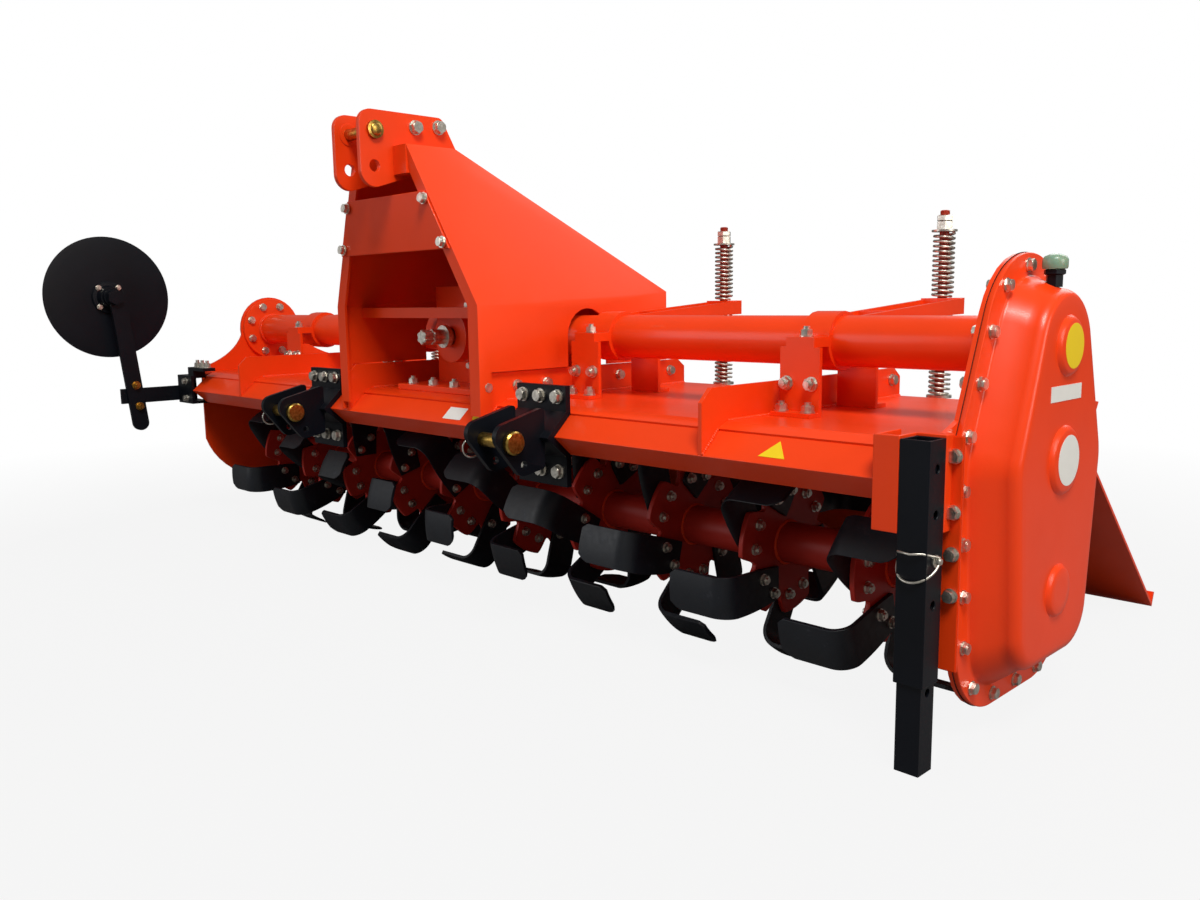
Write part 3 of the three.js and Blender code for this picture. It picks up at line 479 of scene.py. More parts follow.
def coil_tree():
    """A compression spring: round wire along a helix, standing on its foot."""
    tree, given = geometry_tree("Coil spring", Coils=12.0, Radius=0.02, Wire=0.003, Length=0.14,
                                Foot=(0.0, 0.0, 0.0))
    helix = add(tree, "GeometryNodeCurveSpiral", {
        "Resolution": 22, "Rotations": given["Coils"], "Start Radius": given["Radius"],
        "End Radius": given["Radius"], "Height": given["Length"]})
    wire = add(tree, "GeometryNodeCurvePrimitiveCircle", {"Resolution": 9, "Radius": given["Wire"]})
    spring = add(tree, "GeometryNodeCurveToMesh", {
        "Fill Caps": True, "Curve": helix.outputs[0], "Profile Curve": wire.outputs[0]})
    return closing(tree, given, add(tree, "GeometryNodeTransform", {
        "Geometry": spring.outputs[0], "Translation": given["Foot"]}))


def bead_tree():
    """A weld: flattened beads overlapping along the edges of a path."""
    tree, given = geometry_tree("Weld bead", Radius=0.0035, Step=0.0042)
    path = add(tree, "GeometryNodeMeshToCurve", {"Mesh": given["Geometry"]})
    points = add(tree, "GeometryNodeCurveToPoints", {"Curve": path.outputs[0], "Length": given["Step"]},
                 mode="LENGTH")
    ball = add(tree, "GeometryNodeMeshUVSphere", {"Segments": 8, "Rings": 5, "Radius": given["Radius"]})
    uneven = add(tree, "FunctionNodeRandomValue", {
        "Min": (0.8, 0.85, 0.8), "Max": (1.15, 1.1, 1.1), "Seed": 3}, data_type="FLOAT_VECTOR")
    return closing(tree, given, add(tree, "GeometryNodeInstanceOnPoints", {
        "Points": points.outputs["Points"], "Instance": ball.outputs[0],
        "Rotation": points.outputs["Rotation"], "Scale": uneven.outputs[0]}))


def fan_tree():
    """Copies of one part about the rotor's axis, each at its point's own turn."""
    tree, given = geometry_tree("Rotor parts", Part=None)
    part = add(tree, "GeometryNodeObjectInfo", {"Object": given["Part"]})
    turn = add(tree, "GeometryNodeInputNamedAttribute", {"Name": "turn"}, data_type="FLOAT")
    euler = add(tree, "ShaderNodeCombineXYZ", {"X": turn.outputs["Attribute"]})
    rotation = add(tree, "FunctionNodeEulerToRotation", {"Euler": euler.outputs[0]})
    return closing(tree, given, add(tree, "GeometryNodeInstanceOnPoints", {
        "Points": given["Geometry"], "Instance": part.outputs["Geometry"], "Rotation": rotation.outputs[0]}))


TREES = {}


def grown(name, tree, points, settings, finish, body, *nodes, edges=(), field=None, angle=35):
    """Runs a node tree on a set of points and keeps the result as a plain piece."""
    if tree not in TREES:
        TREES[tree] = tree()
    seed = bpy.data.meshes.new(name + "_points")
    seed.from_pydata([tuple(p) for p in points], edges, [])
    if field:
        label, kind, values = field
        flat = [c for v in values for c in v] if kind == "FLOAT_VECTOR" else values
        key = "vector" if kind == "FLOAT_VECTOR" else "value"
        seed.attributes.new(label, kind, "POINT").data.foreach_set(key, flat)
    holder = bpy.data.objects.new(name + "_holder", seed)
    bpy.context.scene.collection.objects.link(holder)
    modifier = holder.modifiers.new("Grow", "NODES")
    modifier.node_group = TREES[tree]
    given = {**settings, "Material": FINISH[finish]}
    for item in TREES[tree].interface.items_tree:
        if item.in_out == "INPUT" and item.name in given:
            modifier[item.identifier] = given[item.name]
    mesh = bpy.data.meshes.new_from_object(holder.evaluated_get(bpy.context.evaluated_depsgraph_get()))
    bpy.data.objects.remove(holder)
    mesh.name = name
    smooth(mesh, angle)
    return new_piece(name, mesh, finish, body, *nodes)


def bolts(name, spots, flats, height, finish="zinc", body="frame", washer=2.5, stud=0.0):
    """A set of bolts at (place, facing) pairs; sizes in mm."""
    settings = {"Flats": flats * MM, "Height": height * MM, "Washer": washer * MM, "Stud": stud * MM}
    grown(name, bolt_tree, [p for p, _ in spots], settings, finish, body,
          field=("facing", "FLOAT_VECTOR", [f for _, f in spots]))


def bead(name, paths, body="frame", radius=3.6):
    """Weld beads along several open or closed paths."""
    points, edges = [], []
    for path in paths:
        first = len(points)
        points += path
        edges += [(i, i + 1) for i in range(first, len(points) - 1)]
    return grown(name, bead_tree, points, {"Radius": radius * MM, "Step": radius * 1.15 * MM}, "body", body,
                 edges=edges, angle=80)


def ring(x, y, z, radius, count):
    """A closed path about the x axis, in frame metres."""
    turns = [2 * math.pi * i / count for i in range(count + 1)]
    return [at(x, y + radius * math.cos(t), z + radius * math.sin(t)) for t in turns]


X, Y, Z = Vector((1, 0, 0)), Vector((0, 1, 0)), Vector((0, 0, 1))


# ---------------------------------------------------------------- operators
class TillerOperator:
    bl_options = {"REGISTER"}

    def execute(self, context):
        self.make()
        return {"FINISHED"}


class TILLER_OT_sheets(TillerOperator, bpy.types.Operator):
    """Give the painted sheets and plates softened edges and enamel"""
    bl_idname = "tiller.sheets"
    bl_label = "Painted sheets"

    def make(self):
        for node in ("deck", "front_beam", "side_plate_right", "side_plate_left", "gearbox", "hood",
                     "hood_front_plate", "top_link_plate_right", "top_link_plate_left", "stand_bracket",
                     "tube_saddle_inner_right", "tube_saddle_inner_left", "tube_saddle_outer_right",
                     "tube_saddle_outer_left"):
            softened(node, "body")
        softened("trailing_board", "body", body="board", width=0.0009)
        for node in ("hitch_bracket_right", "hitch_bracket_left", "stand_sleeve", "coulter_bracket",
                     "coulter_arm"):
            softened(node, "black")
        softened("stand_leg", "black", body="leg")


class TILLER_OT_main_tube(TillerOperator, bpy.types.Operator):
    """Turn the main tube and its end flanges"""
    bl_idname = "tiller.main_tube"
    bl_label = "Main tube"

    def make(self):
        r = 46.0
        for end, sign in (("right", 1), ("left", -1)):
            node = f"main_tube_{end}"
            rim = (side(node, 2, 1) - side(node, 2, -1)) / 2
            # the radius at each step, and how far in from that end it is
            inner = ((r - 6, 0), (r + 33, 0), (r + 34, 1), (r + 34, 11), (r + 33, 12), (r + 4, 12), (r, 16))
            outer = ((r, 16), (r + 4, 12), (rim - 1.2, 12), (rim, 10.8), (rim, 0), (r - 6, 0))
            profile = [(a, side(node, 0, -sign) + sign * d) for a, d in inner]
            profile += [(a, side(node, 0, sign) - sign * d) for a, d in outer]
            lathe(f"{node}_finished", "body", [(profile, "x", at(0, 0, TUBE_Z), 96)], node)


# height of the middle boss of the gear case
IDLER_Z = ROTOR_Z + 210


class TILLER_OT_gear_case(TillerOperator, bpy.types.Operator):
    """Press the gear case cover with its bosses, gasket, labels and breather"""
    bl_idname = "tiller.gear_case"
    bl_label = "Gear case"

    def make(self):
        x0 = side("gear_case_cover", 0, -1)
        face = side("gear_case_cover", 0, 1) - 7
        # circles that the foot of the cover and its face are drawn round
        root = [(0, TUBE_Z - 4, 110), (-74, ROTOR_Z + 200, 112), (74, ROTOR_Z + 200, 112),
                (-74, ROTOR_Z - 60, 88), (74, ROTOR_Z - 60, 88)]
        crown = [(0, TUBE_Z - 12, 90), (-60, ROTOR_Z + 200, 89), (60, ROTOR_Z + 200, 89),
                 (-60, ROTOR_Z - 35, 64), (60, ROTOR_Z - 35, 64)]
        rim = side("gear_case_cover", 2, 1) - (TUBE_Z - 4 + 110)

        def section(x, k, grow):
            mix = [tuple(a + (b - a) * k for a, b in zip(p, q)) for p, q in zip(root, crown)]
            return [at(x, y, z) for y, z in band(mix, grow)]

        rings = [section(x0 + dx, 0, grow)
                 for dx, grow in ((0, rim - 0.8), (1, rim), (8, rim), (9, rim - 1), (9, 6))]
        # a small fillet at the foot, then a slanted wall, then the drawn radius into the face
        fillet, draw, slant = 6, 20.0, 0.62
        foot = x0 + 9 + fillet
        rings += [section(foot - fillet * math.cos(t), 0, fillet * (1 - math.sin(t)) - 0.2)
                  for t in (0.5, 1.0, 1.45)]
        rings += [section(foot + (face - draw - foot) * k, k * slant, -0.6) for k in (0.25, 0.5, 0.75, 1.0)]
        for i in range(1, 9):
            t = math.pi / 2 * i / 8
            rings.append(section(face - draw + draw * math.sin(t), slant + (1 - slant) * (1 - math.cos(t)),
                                 -0.6 - 2.8 * (1 - math.cos(t))))
        rings.append(section(face, 1, -16))
        lofted("gear_case_cover_pressed", "body", rings, "gear_case_cover", angle=40)

        lathe("gear_case_bosses", "body", [
            ([(r + 3, face - 3), (r, face + 0.6), (r - 4, face + 5.5), (r - 8, face + 7), (r * 0.5, face + 7)],
             "x", at(0, 0, z), 64) for z, r in ((TUBE_Z, 47), (IDLER_Z, 55), (ROTOR_Z, 43))], angle=50)
        for finish, z, r in (("yellow", TUBE_Z, 35), ("white", IDLER_Z, 40)):
            profile = [(r, face + 6.9), (r, face + 7.3), (r * 0.9, face + 7.4)]
            lathe(f"blank_{finish}_disc", finish, [(profile, "x", at(0, 4, z), 64)])
        slab("blank_white_plate", "white", at(face + 0.2, -2, TUBE_Z - 72), (0.0009, 0.116, 0.024))
        lofted("gear_case_gasket", "gasket", [section(x0 + dx, 0, rim + 1.2) for dx in (-0.25, -0.02)])

        spots = even(band(root, rim / 2, 720), 22)
        plate = side("side_plate_right", 0, -1)
        bolts("gear_case_bolts", [(at(x0 + 9, y, z), X) for y, z in spots], 17, 8, washer=2)
        bolts("gear_case_nuts", [(at(plate, y, z), -X) for y, z in spots], 17, 9, washer=2)

        foot = middle("gear_case_breather")
        foot.z = low("gear_case_breather").z
        lathe("breather_base", "black", [([(13, 2), (13, 20), (17, 22), (17, 28), (12, 30)], "z", foot, 6)],
              "gear_case_breather")
        cap = [(11, 29), (18, 30), (19, 33), (19, 44), (16, 49), (9, 52), (4, 53)]
        lathe("breather_cap", "cap", [(cap, "z", foot, 40)], angle=50)


class TILLER_OT_fasteners(TillerOperator, bpy.types.Operator):
    """Set the bolts and nuts of the frame"""
    bl_idname = "tiller.fasteners"
    bl_label = "Frame fasteners"

    def make(self):
        common = sizes().bolt_flats / MM
        flange_x = side("main_tube_left", 0, -1) + 12
        spots = []
        for c, s in around(8, math.pi / 8):
            for x, facing in ((flange_x, X), (-flange_x, -X), (flange_x - 21, -X)):
                spots.append((at(x, 78 * c, TUBE_Z + 78 * s), facing))
        hood_x = side("hood", 0, 1) - 10
        front = side("hood_front_plate", 1, -1)
        plate_low, plate_high = side("hood_front_plate", 2, -1), side("hood_front_plate", 2, 1)
        face = Vector((0, -1, 0.11)).normalized()
        flanks = [(hood_x, y, DECK_TOP + 30) for y in (-290, -205, -120)]
        flanks += [(hood_x, y, DECK_TOP + 34) for y in (110, 200, 290)]
        flanks += [(874, y, DECK_TOP + 36) for y in (118, 310)]
        for s in (-1, 1):
            spots += [(at(s * 198, front + 12, plate_low + 14), face),
                      (at(s * 154, front, plate_high - 16), face)]
            spots += [(at(s * x, y, z), s * X) for x, y, z in flanks]
        bolts("frame_bolts", spots, common, 9)

        mast = side("top_link_plate_right", 0, 1)
        pin = middle("top_link_pin")
        bolts("mast_bolts", [(Vector((at(s * mast, 0, 0).x, pin.y + y * MM, pin.z + z * MM)), s * X)
                             for y, z in ((103, 14), (164, 20)) for s in (-1, 1)], 24, 12, washer=3)

        spots = [(at(x, -205, DECK_TOP + 14.3), Z) for x in (-126, -42, 42, 126)]
        for x, s in ((372, -1), (372, 1), (926, -1), (926, 1)):
            for y in (-78, 78):
                spots += [(at(s * x, y, TUBE_Z + 10), Z), (at(s * x, y, TUBE_Z - 8), -Z)]
            spots += [(at(s * (x + dx), -98, DECK_TOP + 58), -Y) for dx in (26, -26)]
            spots += [(at(s * x + dx, -112, DECK_TOP + 8), Z) for dx in (-28, 28)]
        bolts("saddle_bolts", spots, common + 1, 11, stud=5)


def lynch(name, place, pin_radius):
    """A lynch pin: a short shank through the pin's end and a sprung ring folded over it."""
    ring_r = 0.019
    centre = place + Vector((0, -0.004, -pin_radius * MM - 0.006))
    path = [centre + Vector((0.004 * s, ring_r * s, ring_r * c)) for c, s in around(36)]
    wire(name + "_ring", path, 0.0018, 8, True)
    r = pin_radius
    profile = [(3, -r - 8), (4, -r - 6), (4, r + 6), (6.5, r + 8), (6.5, r + 14), (3, r + 16)]
    lathe(name + "_shank", "gold", [(profile, "z", place, 20)])


class TILLER_OT_hitch(TillerOperator, bpy.types.Operator):
    """Bolt the lower hitch brackets and turn their pins, heads and lynch rings"""
    bl_idname = "tiller.hitch"
    bl_label = "Hitch"

    def make(self):
        bolts("hitch_bolts", [(at(s * 428 + dx, -274.6, DECK_TOP + dz), -Y) for s in (-1, 1)
                              for dx in (-52, 0, 52) for dz in (22, -128)], 22, 11, washer=3)
        # steps of a lower pin and of the top one: over its radius, and in from the tip and from the head
        lower = (((-3, 0), (0, 4), (0, 9), (-1, 10), (0, 11)),
                 ((0, 15), (8, 13.5), (9, 12), (9, 3), (6, 0), (-7, 0)))
        upper = ((-3, 0), (0, 3)), ((0, 15), (6, 13.5), (6, 6), (1, 5), (0, 2), (-3, 0))
        for node, r, clip, (tip, head), ring_name in (
                ("hitch_pin_right", 14, 9, lower, "hitch_pin_right_lynch"),
                ("hitch_pin_left", 14, 9, lower, "hitch_pin_left_lynch"),
                ("top_link_pin", 12.7, 8, upper, "top_link_lynch")):
            x0, x1 = side(node, 0, -1), side(node, 0, 1)
            place = middle(node)
            place.x = ORIGIN.x
            profile = [(r + dr, x0 + d) for dr, d in tip] + [(r + dr, x1 - d) for dr, d in head]
            lathe(f"{node}_turned", "gold", [(profile, "x", place, 48)], node)
            lynch(ring_name, Vector((at(x0 + clip, 0, 0).x, place.y, place.z)), r)


class TILLER_OT_input_shaft(TillerOperator, bpy.types.Operator):
    """Cut the splines of the input shaft and bolt its bearing housing"""
    bl_idname = "tiller.input_shaft"
    bl_label = "Input shaft"

    def make(self):
        tip, back = side("pto_shaft", 1, -1), side("pto_shaft", 1, 1)
        radius, splines, end = 17.5, 6, 60
        rings = []
        for y, k in ((0, 0.88), (2, 1.0), (20, 1.0), (21, 0.86), (28, 0.86), (29, 1.0), (end, 1.0),
                     (end + 0.1, 1.5), (72, 1.5), (72.1, 1.0), (back - tip, 1.0)):
            loop = []
            for i in range(96):
                t = 2 * math.pi * i / 96
                r = radius * k * (0.84 if y < end and math.cos(splines * t) <= 0 else 1.0)
                loop.append(at(r * math.sin(t), tip + y, TUBE_Z + r * math.cos(t)))
            rings.append(loop)
        lofted("input_shaft_splined", "zinc", rings, "pto_shaft", body="input_shaft")
        bolts("housing_bolts", [(at(72 * c, -126, TUBE_Z + 72 * s), -Y) for c, s in around(6, math.pi / 6)],
              13, 7, washer=1.5)


class TILLER_OT_springs(TillerOperator, bpy.types.Operator):
    """Wind the rod springs and turn the rods with their nuts and washers"""
    bl_idname = "tiller.springs"
    bl_label = "Rods and springs"

    def make(self):
        wire = sizes().wire
        for i in range(1, 5):
            body, rod = f"rod_{i}", f"board_rod_{i}"
            upper, lower = f"upper_spring_{i}", f"lower_spring_{i}"
            radius = (high(upper).x - low(upper).x) / 2 - wire / 2
            for node, rides, coils in ((upper, body, sizes().coils), (lower, "frame", sizes().coils + 3)):
                foot = middle(node)
                foot.z = low(node).z + wire / 2
                full = high(node).z - low(node).z
                piece = grown(f"{node}_wound", coil_tree, [foot], {
                    "Coils": float(coils), "Radius": radius, "Wire": wire / 2, "Length": full - wire,
                    "Foot": foot}, "spring", rides, node, angle=80)
                if node == lower:
                    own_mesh(piece)
            centre = middle(rod)
            centre.z = 0
            z0, z1 = low(rod).z / MM, high(rod).z / MM
            z = z1 - 30
            profile = [(8.5, z0), (10, z0 + 2), (10, z)]
            while z < z1 - 3:  # rolled thread above the nuts
                profile += [(10, z), (9.1, z + 1), (10, z + 2)]
                z += 2
            profile += [(9, z1 - 1), (7, z1)]
            lathe(f"{rod}_bar", "rod", [(profile, "z", centre, 24)], rod, body=body, angle=50)
            seat, floor = high(upper).z / MM, low(lower).z / MM
            forms = [([(11, z), (26, z), (26, z + t), (11, z + t)], "z", centre, 40)
                     for z, t in ((seat, 4), (floor - 6, 6))]
            # hex nuts of 30 mm flats, from the face on the washer to the chamfered crown
            r = 30 / math.cos(math.pi / 6) / 2
            forms += [([(r, z), (r, crown - math.copysign(1.2, crown - z)), (r * 0.88, crown)], "z", centre, 6)
                      for z, crown in ((seat + 4, seat + 22), (seat + 23, seat + 34), (floor - 7, floor - 20))]
            lathe(f"{rod}_nuts", "zinc", forms, body=body)


# rotor sizes that the blades and flanges share, in mm
FLANGE_R, FLANGE_T, BOLT_R = 142.0, 10.0, 102.0
BLADE_T, BLADE_HALF, SWEEP = 8.0, 39.0, math.radians(44)
REACH, CORNER = 122.0, (18.0, 15.0)
ROTOR_TUBE_R = 40.0
TURN_STEP = math.pi / 12  # each gang against the one before


def swept_tip():
    """How far a shank goes on past its bolts for the blade's leading corner to come to the
    ground, and the turn from that corner to the bolts."""
    c, s = math.cos(SWEEP), math.sin(SWEEP)
    rest = BLADE_HALF ** 2 + BOLT_R ** 2 + 2 * BOLT_R * BLADE_HALF * s - ROTOR_Z ** 2
    rise = -BOLT_R * c + math.sqrt((BOLT_R * c) ** 2 - rest)
    return rise, math.atan2(rise * s - BLADE_HALF * c, BLADE_HALF * s + rise * c + BOLT_R)


TIP_RISE, AHEAD = swept_tip()


def gang_turns():
    """Each gang's place along the rotor and its turn; the last but one stands on a corner."""
    for k, name in enumerate(GANGS):
        x = (low(name).x + high(name).x - 2 * ORIGIN.x) / 2 / MM
        yield x, math.pi + (k - len(GANGS) + 2) * TURN_STEP


class TILLER_OT_rotor(TillerOperator, bpy.types.Operator):
    """Forge the rotor's flanges and blades, and bolt them"""
    bl_idname = "tiller.rotor"
    bl_label = "Rotor"

    def make(self):
        blades = {-1: [], 1: []}
        spots = []
        for x, turn in gang_turns():
            for j in range(6):
                s = -1 if j % 2 else 1
                angle = turn + math.pi / 3 * j + AHEAD
                blades[s].append((at(x, ROTOR_Y, ROTOR_Z), angle))
                c, n = math.cos(angle), math.sin(angle)
                for dy in (-23, 23):
                    y, z = ROTOR_Y - n * BOLT_R + c * dy, ROTOR_Z + c * BOLT_R + n * dy
                    spots.append((at(x - s * (FLANGE_T / 2 + BLADE_T), y, z), -s * X))
                    spots.append((at(x + s * FLANGE_T / 2, y, z), s * X))
        half = len(GANGS) // 2
        self.fan("blades_left", self.blade_part(-1), blades[-1], "blade", *GANGS[:half])
        self.fan("blades_right", self.blade_part(1), blades[1], "blade", *GANGS[half:])
        self.fan("rotor_flanges", self.flange_part(),
                 [(at(x, ROTOR_Y, ROTOR_Z), turn) for x, turn in gang_turns()], "rotor")
        bolts("rotor_bolts", spots, 17, 8, body="rotor", washer=2, stud=3)
        self.tube()

    def fan(self, name, part, places, finish, *nodes):
        """Sets copies of a part at (place, turn) pairs and removes the part."""
        grown(name, fan_tree, [p for p, _ in places], {"Part": part}, finish, "rotor", *nodes,
              field=("turn", "FLOAT", [t for _, t in places]))
        bpy.data.objects.remove(part)

    def part(self, bm, name, finish, angle):
        part = bpy.data.objects.new(name, mesh_of(bm, name, finish, angle))
        bpy.context.scene.collection.objects.link(part)
        return part

    def blade_part(self, s):
        """One blade as a bent, tapered plate: a shank, a round bend and a curved cutting tip."""
        half = BLADE_T / 2
        top = TIP_RISE + BOLT_R - half
        bend, foot = 34.0, BOLT_R - 34
        start = -FLANGE_T / 2 - half
        line = [(start, foot + (top - bend - foot) * i / 8, 0.0) for i in range(9)]
        line += [(start + bend * (1 - math.cos(t)), top - bend + bend * math.sin(t), t)
                 for t in (math.pi / 2 * i / 10 for i in range(1, 11))]
        line += [(start + bend + (REACH - start - bend) * i / 8, top, math.pi / 2) for i in range(1, 9)]
        outer, inner = [], []
        for x, r, tilt in line:
            # the shank is narrower at the bolts, and the tip's leading corner is cut off
            along = min(1.0, max(0.0, (r - foot) / (top - foot)))
            trail = BLADE_HALF - 7.0 * (1 - along) ** 2
            lead = trail + 4.0 * math.sin(math.pi * along)
            past = (x - (REACH - CORNER[0])) / CORNER[0]
            if past > 0:
                lead -= CORNER[1] * past
                trail -= 9.0 * max(0.0, past - 0.7) / 0.3
            nx, nr = math.cos(tilt), -math.sin(tilt)
            outer.append([])
            inner.append([])
            for j in range(9):
                across = -lead + (lead + trail) * j / 8
                # the leading edge is ground thin from the inner face, so the outer one keeps its radius
                ground = half * (2 * {0: 0.22, 1: 0.75}.get(j, 1.0) - 1)
                # the tip wraps slightly round the rotor
                drop = (across - BLADE_HALF) * (across + BLADE_HALF) / (2 * 210) * math.sin(tilt)
                outer[-1].append((x - nx * half, across, r - drop - nr * half))
                inner[-1].append((x + nx * ground, across, r - drop + nr * ground))
        bm = bmesh.new()
        self.plate(bm, outer, inner)
        to_bolts = Matrix.Translation((0, 0, BOLT_R))
        lean = to_bolts @ Matrix.Rotation(-SWEEP, 4, "X") @ to_bolts.inverted()
        bmesh.ops.transform(bm, matrix=Matrix.Diagonal((s * MM, MM, MM, 1)) @ lean, verts=bm.verts)
        outwards(bm)
        edges = [e for e in bm.edges if e.calc_face_angle(0) > math.radians(50)]
        bmesh.ops.bevel(bm, geom=edges, offset=0.0008, segments=1, affect="EDGES", clamp_overlap=True)
        return self.part(bm, "blade", "blade", 30)

    def plate(self, bm, outer, inner):
        """A closed plate between two grids of points."""
        rows, cols = len(outer), len(outer[0])
        a = [[bm.verts.new(p) for p in row] for row in outer]
        b = [[bm.verts.new(p) for p in row] for row in inner]
        for i in range(rows - 1):
            for j in range(cols - 1):
                bm.faces.new((a[i][j], a[i][j + 1], a[i + 1][j + 1], a[i + 1][j]))
                bm.faces.new((b[i][j], b[i + 1][j], b[i + 1][j + 1], b[i][j + 1]))
            for j in (0, cols - 1):
                bm.faces.new((a[i][j], a[i + 1][j], b[i + 1][j], b[i][j]))
        for i in (0, rows - 1):
            for j in range(cols - 1):
                bm.faces.new((a[i][j], b[i][j], b[i][j + 1], a[i][j + 1]))

    def flange_part(self):
        """A flame-cut flange with six lobes, each wide enough for one blade's pair of bolts."""
        notch, outline = 38, []
        for i in range(180):
            t = 2 * math.pi * i / 180
            lobe = (t - AHEAD + math.pi / 6) % (math.pi / 3) - math.pi / 6
            edge = min(1.0, max(0.0, (abs(lobe) - math.radians(16.5)) / math.radians(13.5)))
            outline.append((FLANGE_R - notch * math.sin(edge * math.pi / 2) ** 1.4, t))
        half, bore = FLANGE_T / 2, ROTOR_TUBE_R + 0.4
        rings = [[(x, r + grow, t) for r, t in outline]
                 for x, grow in ((-half, -1.0), (-half + 1, 0.0), (half - 1, 0.0), (half, -1.0))]
        rings += [[(x, bore, t) for _, t in outline] for x in (half, -half)]
        bm = bmesh.new()
        loft(bm, [[Vector((x, -r * math.sin(t), r * math.cos(t))) * MM for x, r, t in points]
                  for points in rings + rings[:1]], False)
        bmesh.ops.remove_doubles(bm, verts=bm.verts, dist=1e-6)
        outwards(bm)
        return self.part(bm, "flange", "rotor", 40)

    def tube(self):
        r = ROTOR_TUBE_R
        x0, x1 = side("rotor_tube", 0, -1), side("rotor_tube", 0, 1)
        profile = [(20, x0), (24, x0 + 3), (24, -1262), (r - 6, -1261), (r, -1256), (r, 1256), (r - 6, 1261),
                   (24, 1262), (24, x1 - 3), (20, x1)]
        lathe("rotor_tube_turned", "rotor", [(profile, "x", at(0, ROTOR_Y, ROTOR_Z), 64)], "rotor_tube",
              body="rotor")
        piece = bead("rotor_welds", [ring(x + s * (FLANGE_T / 2 + 1), ROTOR_Y, ROTOR_Z, r + 1.5, 36)
                                     for x, _ in gang_turns() for s in (-1, 1)], "rotor", 3.4)


class TILLER_OT_coulter(TillerOperator, bpy.types.Operator):
    """Turn the disc coulter with its hub and bolt its arm"""
    bl_idname = "tiller.coulter"
    bl_label = "Disc coulter"

    def make(self):
        r = (high("coulter_disc").z - low("coulter_disc").z) / 2 / MM
        x = side("coulter_disc", 0, -1) + 14
        place = DISC.copy()
        place.x = ORIGIN.x
        blade = ((10, -2.5), (r - 24, -2.5), (r, -0.4), (r, 0.4), (r - 24, 2.5), (10, 2.5))
        cap = ((30, -2.5), (30, -12), (24, -14), (10, -14))
        hub = ((48, 2), (48, 9), (46, 11), (36, 12), (33, 22), (31, 33), (16.5, 33))
        lathe("coulter_disc_turned", "black", [([(a, x + dx) for a, dx in profile], "x", place, steps)
                                               for profile, steps in ((blade, 96), (cap, 48), (hub, 64))],
              "coulter_disc", body="coulter", angle=30)
        spots = [(place + Vector((x + 11.5, 41 * c, 41 * s)) * MM, X) for c, s in around(4, math.pi / 4)]
        bolts("coulter_hub_bolts", spots, 13, 7, body="coulter", washer=1.5, stud=3)
        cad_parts["coulter_axle"].data.materials[0] = FINISH["black"]

        arm, z = side("coulter_arm", 0, 1), DECK_TOP - 66
        bolts("coulter_arm_bolts", [(at(arm, -443, z + 34), X), (at(arm, -437, z - 32), X)], 19, 10,
              "gold", stud=6)
        bolts("coulter_clamp_nuts", [(at(x, -281, DECK_TOP + 18), Z) for x in (-1212, -1176, -1140)], 17, 12,
              stud=8)
        bolts("coulter_plate_bolts", [(at(-1244, -308, z + dz), -Y) for dz in (-14, 40)], 17, 9)


class TILLER_OT_stand(TillerOperator, bpy.types.Operator):
    """Shape the stand's lock pin and wire clip, and the bolted edge beside it"""
    bl_idname = "tiller.stand"
    bl_label = "Stand"

    def make(self):
        half = (high("stand_sleeve").x - low("stand_sleeve").x) / 2
        inner = (high("stand_leg").x - low("stand_leg").x) / 2 / MM + 0.4
        pin = middle("stand_sleeve")
        pin.z = 322 * MM
        wall = half / MM
        forms = []
        for s in (-1, 1):
            forms += [([(5.5, s * inner), (5.5, s * (wall + 9)), (4, s * (wall + 11))], "x", pin, 20),
                      ([(9, s * (wall + 0.4)), (9, s * (wall + 3)), (6, s * (wall + 3.4))], "x", pin, 24)]
        lathe("stand_pin_turned", "zinc", forms, "stand_pin")
        reach, bow = half + 0.008, 0.030
        path = []
        for i in range(41):
            t = math.pi * i / 40
            path.append(pin + Vector((-reach * math.cos(t), -bow * math.sin(t), -bow * math.sin(t) ** 0.8)))
        wire("stand_clip", path, 0.0019)
        wire("stand_clip_bar", [pin + Vector(p) for p in (
            (-reach, 0, 0.004), (-reach * 0.6, -half - 0.004, 0.012), (0, -half - 0.006, 0.011),
            (reach * 0.6, -half - 0.004, 0.014), (reach, 0, 0.006))], 0.0018)

        edge_x = side("side_plate_right", 0, 1)
        slab("side_plate_edge", "body", at(edge_x + 16, -246, 322), (0.032, 0.005, 0.35), 0.0015)
        bolts("side_edge_bolts", [(at(edge_x + 20, -248.6, z), -Y) for z in (468, 386, 324, 262)], 17, 9)


class TILLER_OT_welds(TillerOperator, bpy.types.Operator):
    """Lay the weld beads of the ribs, tube flanges, hood and mast"""
    bl_idname = "tiller.welds"
    bl_label = "Welds"

    def make(self):
        mast, roof = side("top_link_plate_right", 0, 1) + 1.5, side("hood", 2, 1) - 2
        paths = []
        for s in (-1, 1):
            for x0, x1 in ((262, 270), (866, 874)):
                for x in (x0 - 1, x1 + 1):
                    paths.append([at(s * x, y, DECK_TOP + 0.5) for y in (-232, 342)])
                paths.append([at(s * (x1 + 1), -303, DECK_TOP - 50), at(s * (x1 + 1), -264, DECK_TOP - 13)])
            for x in (1244.5, 165.5):
                paths.append(ring(s * x, 0, TUBE_Z, 47.5, 48))
            paths.append([at(s * mast, y, roof) for y in (-352, -240)])
        bead("frame_welds", paths)


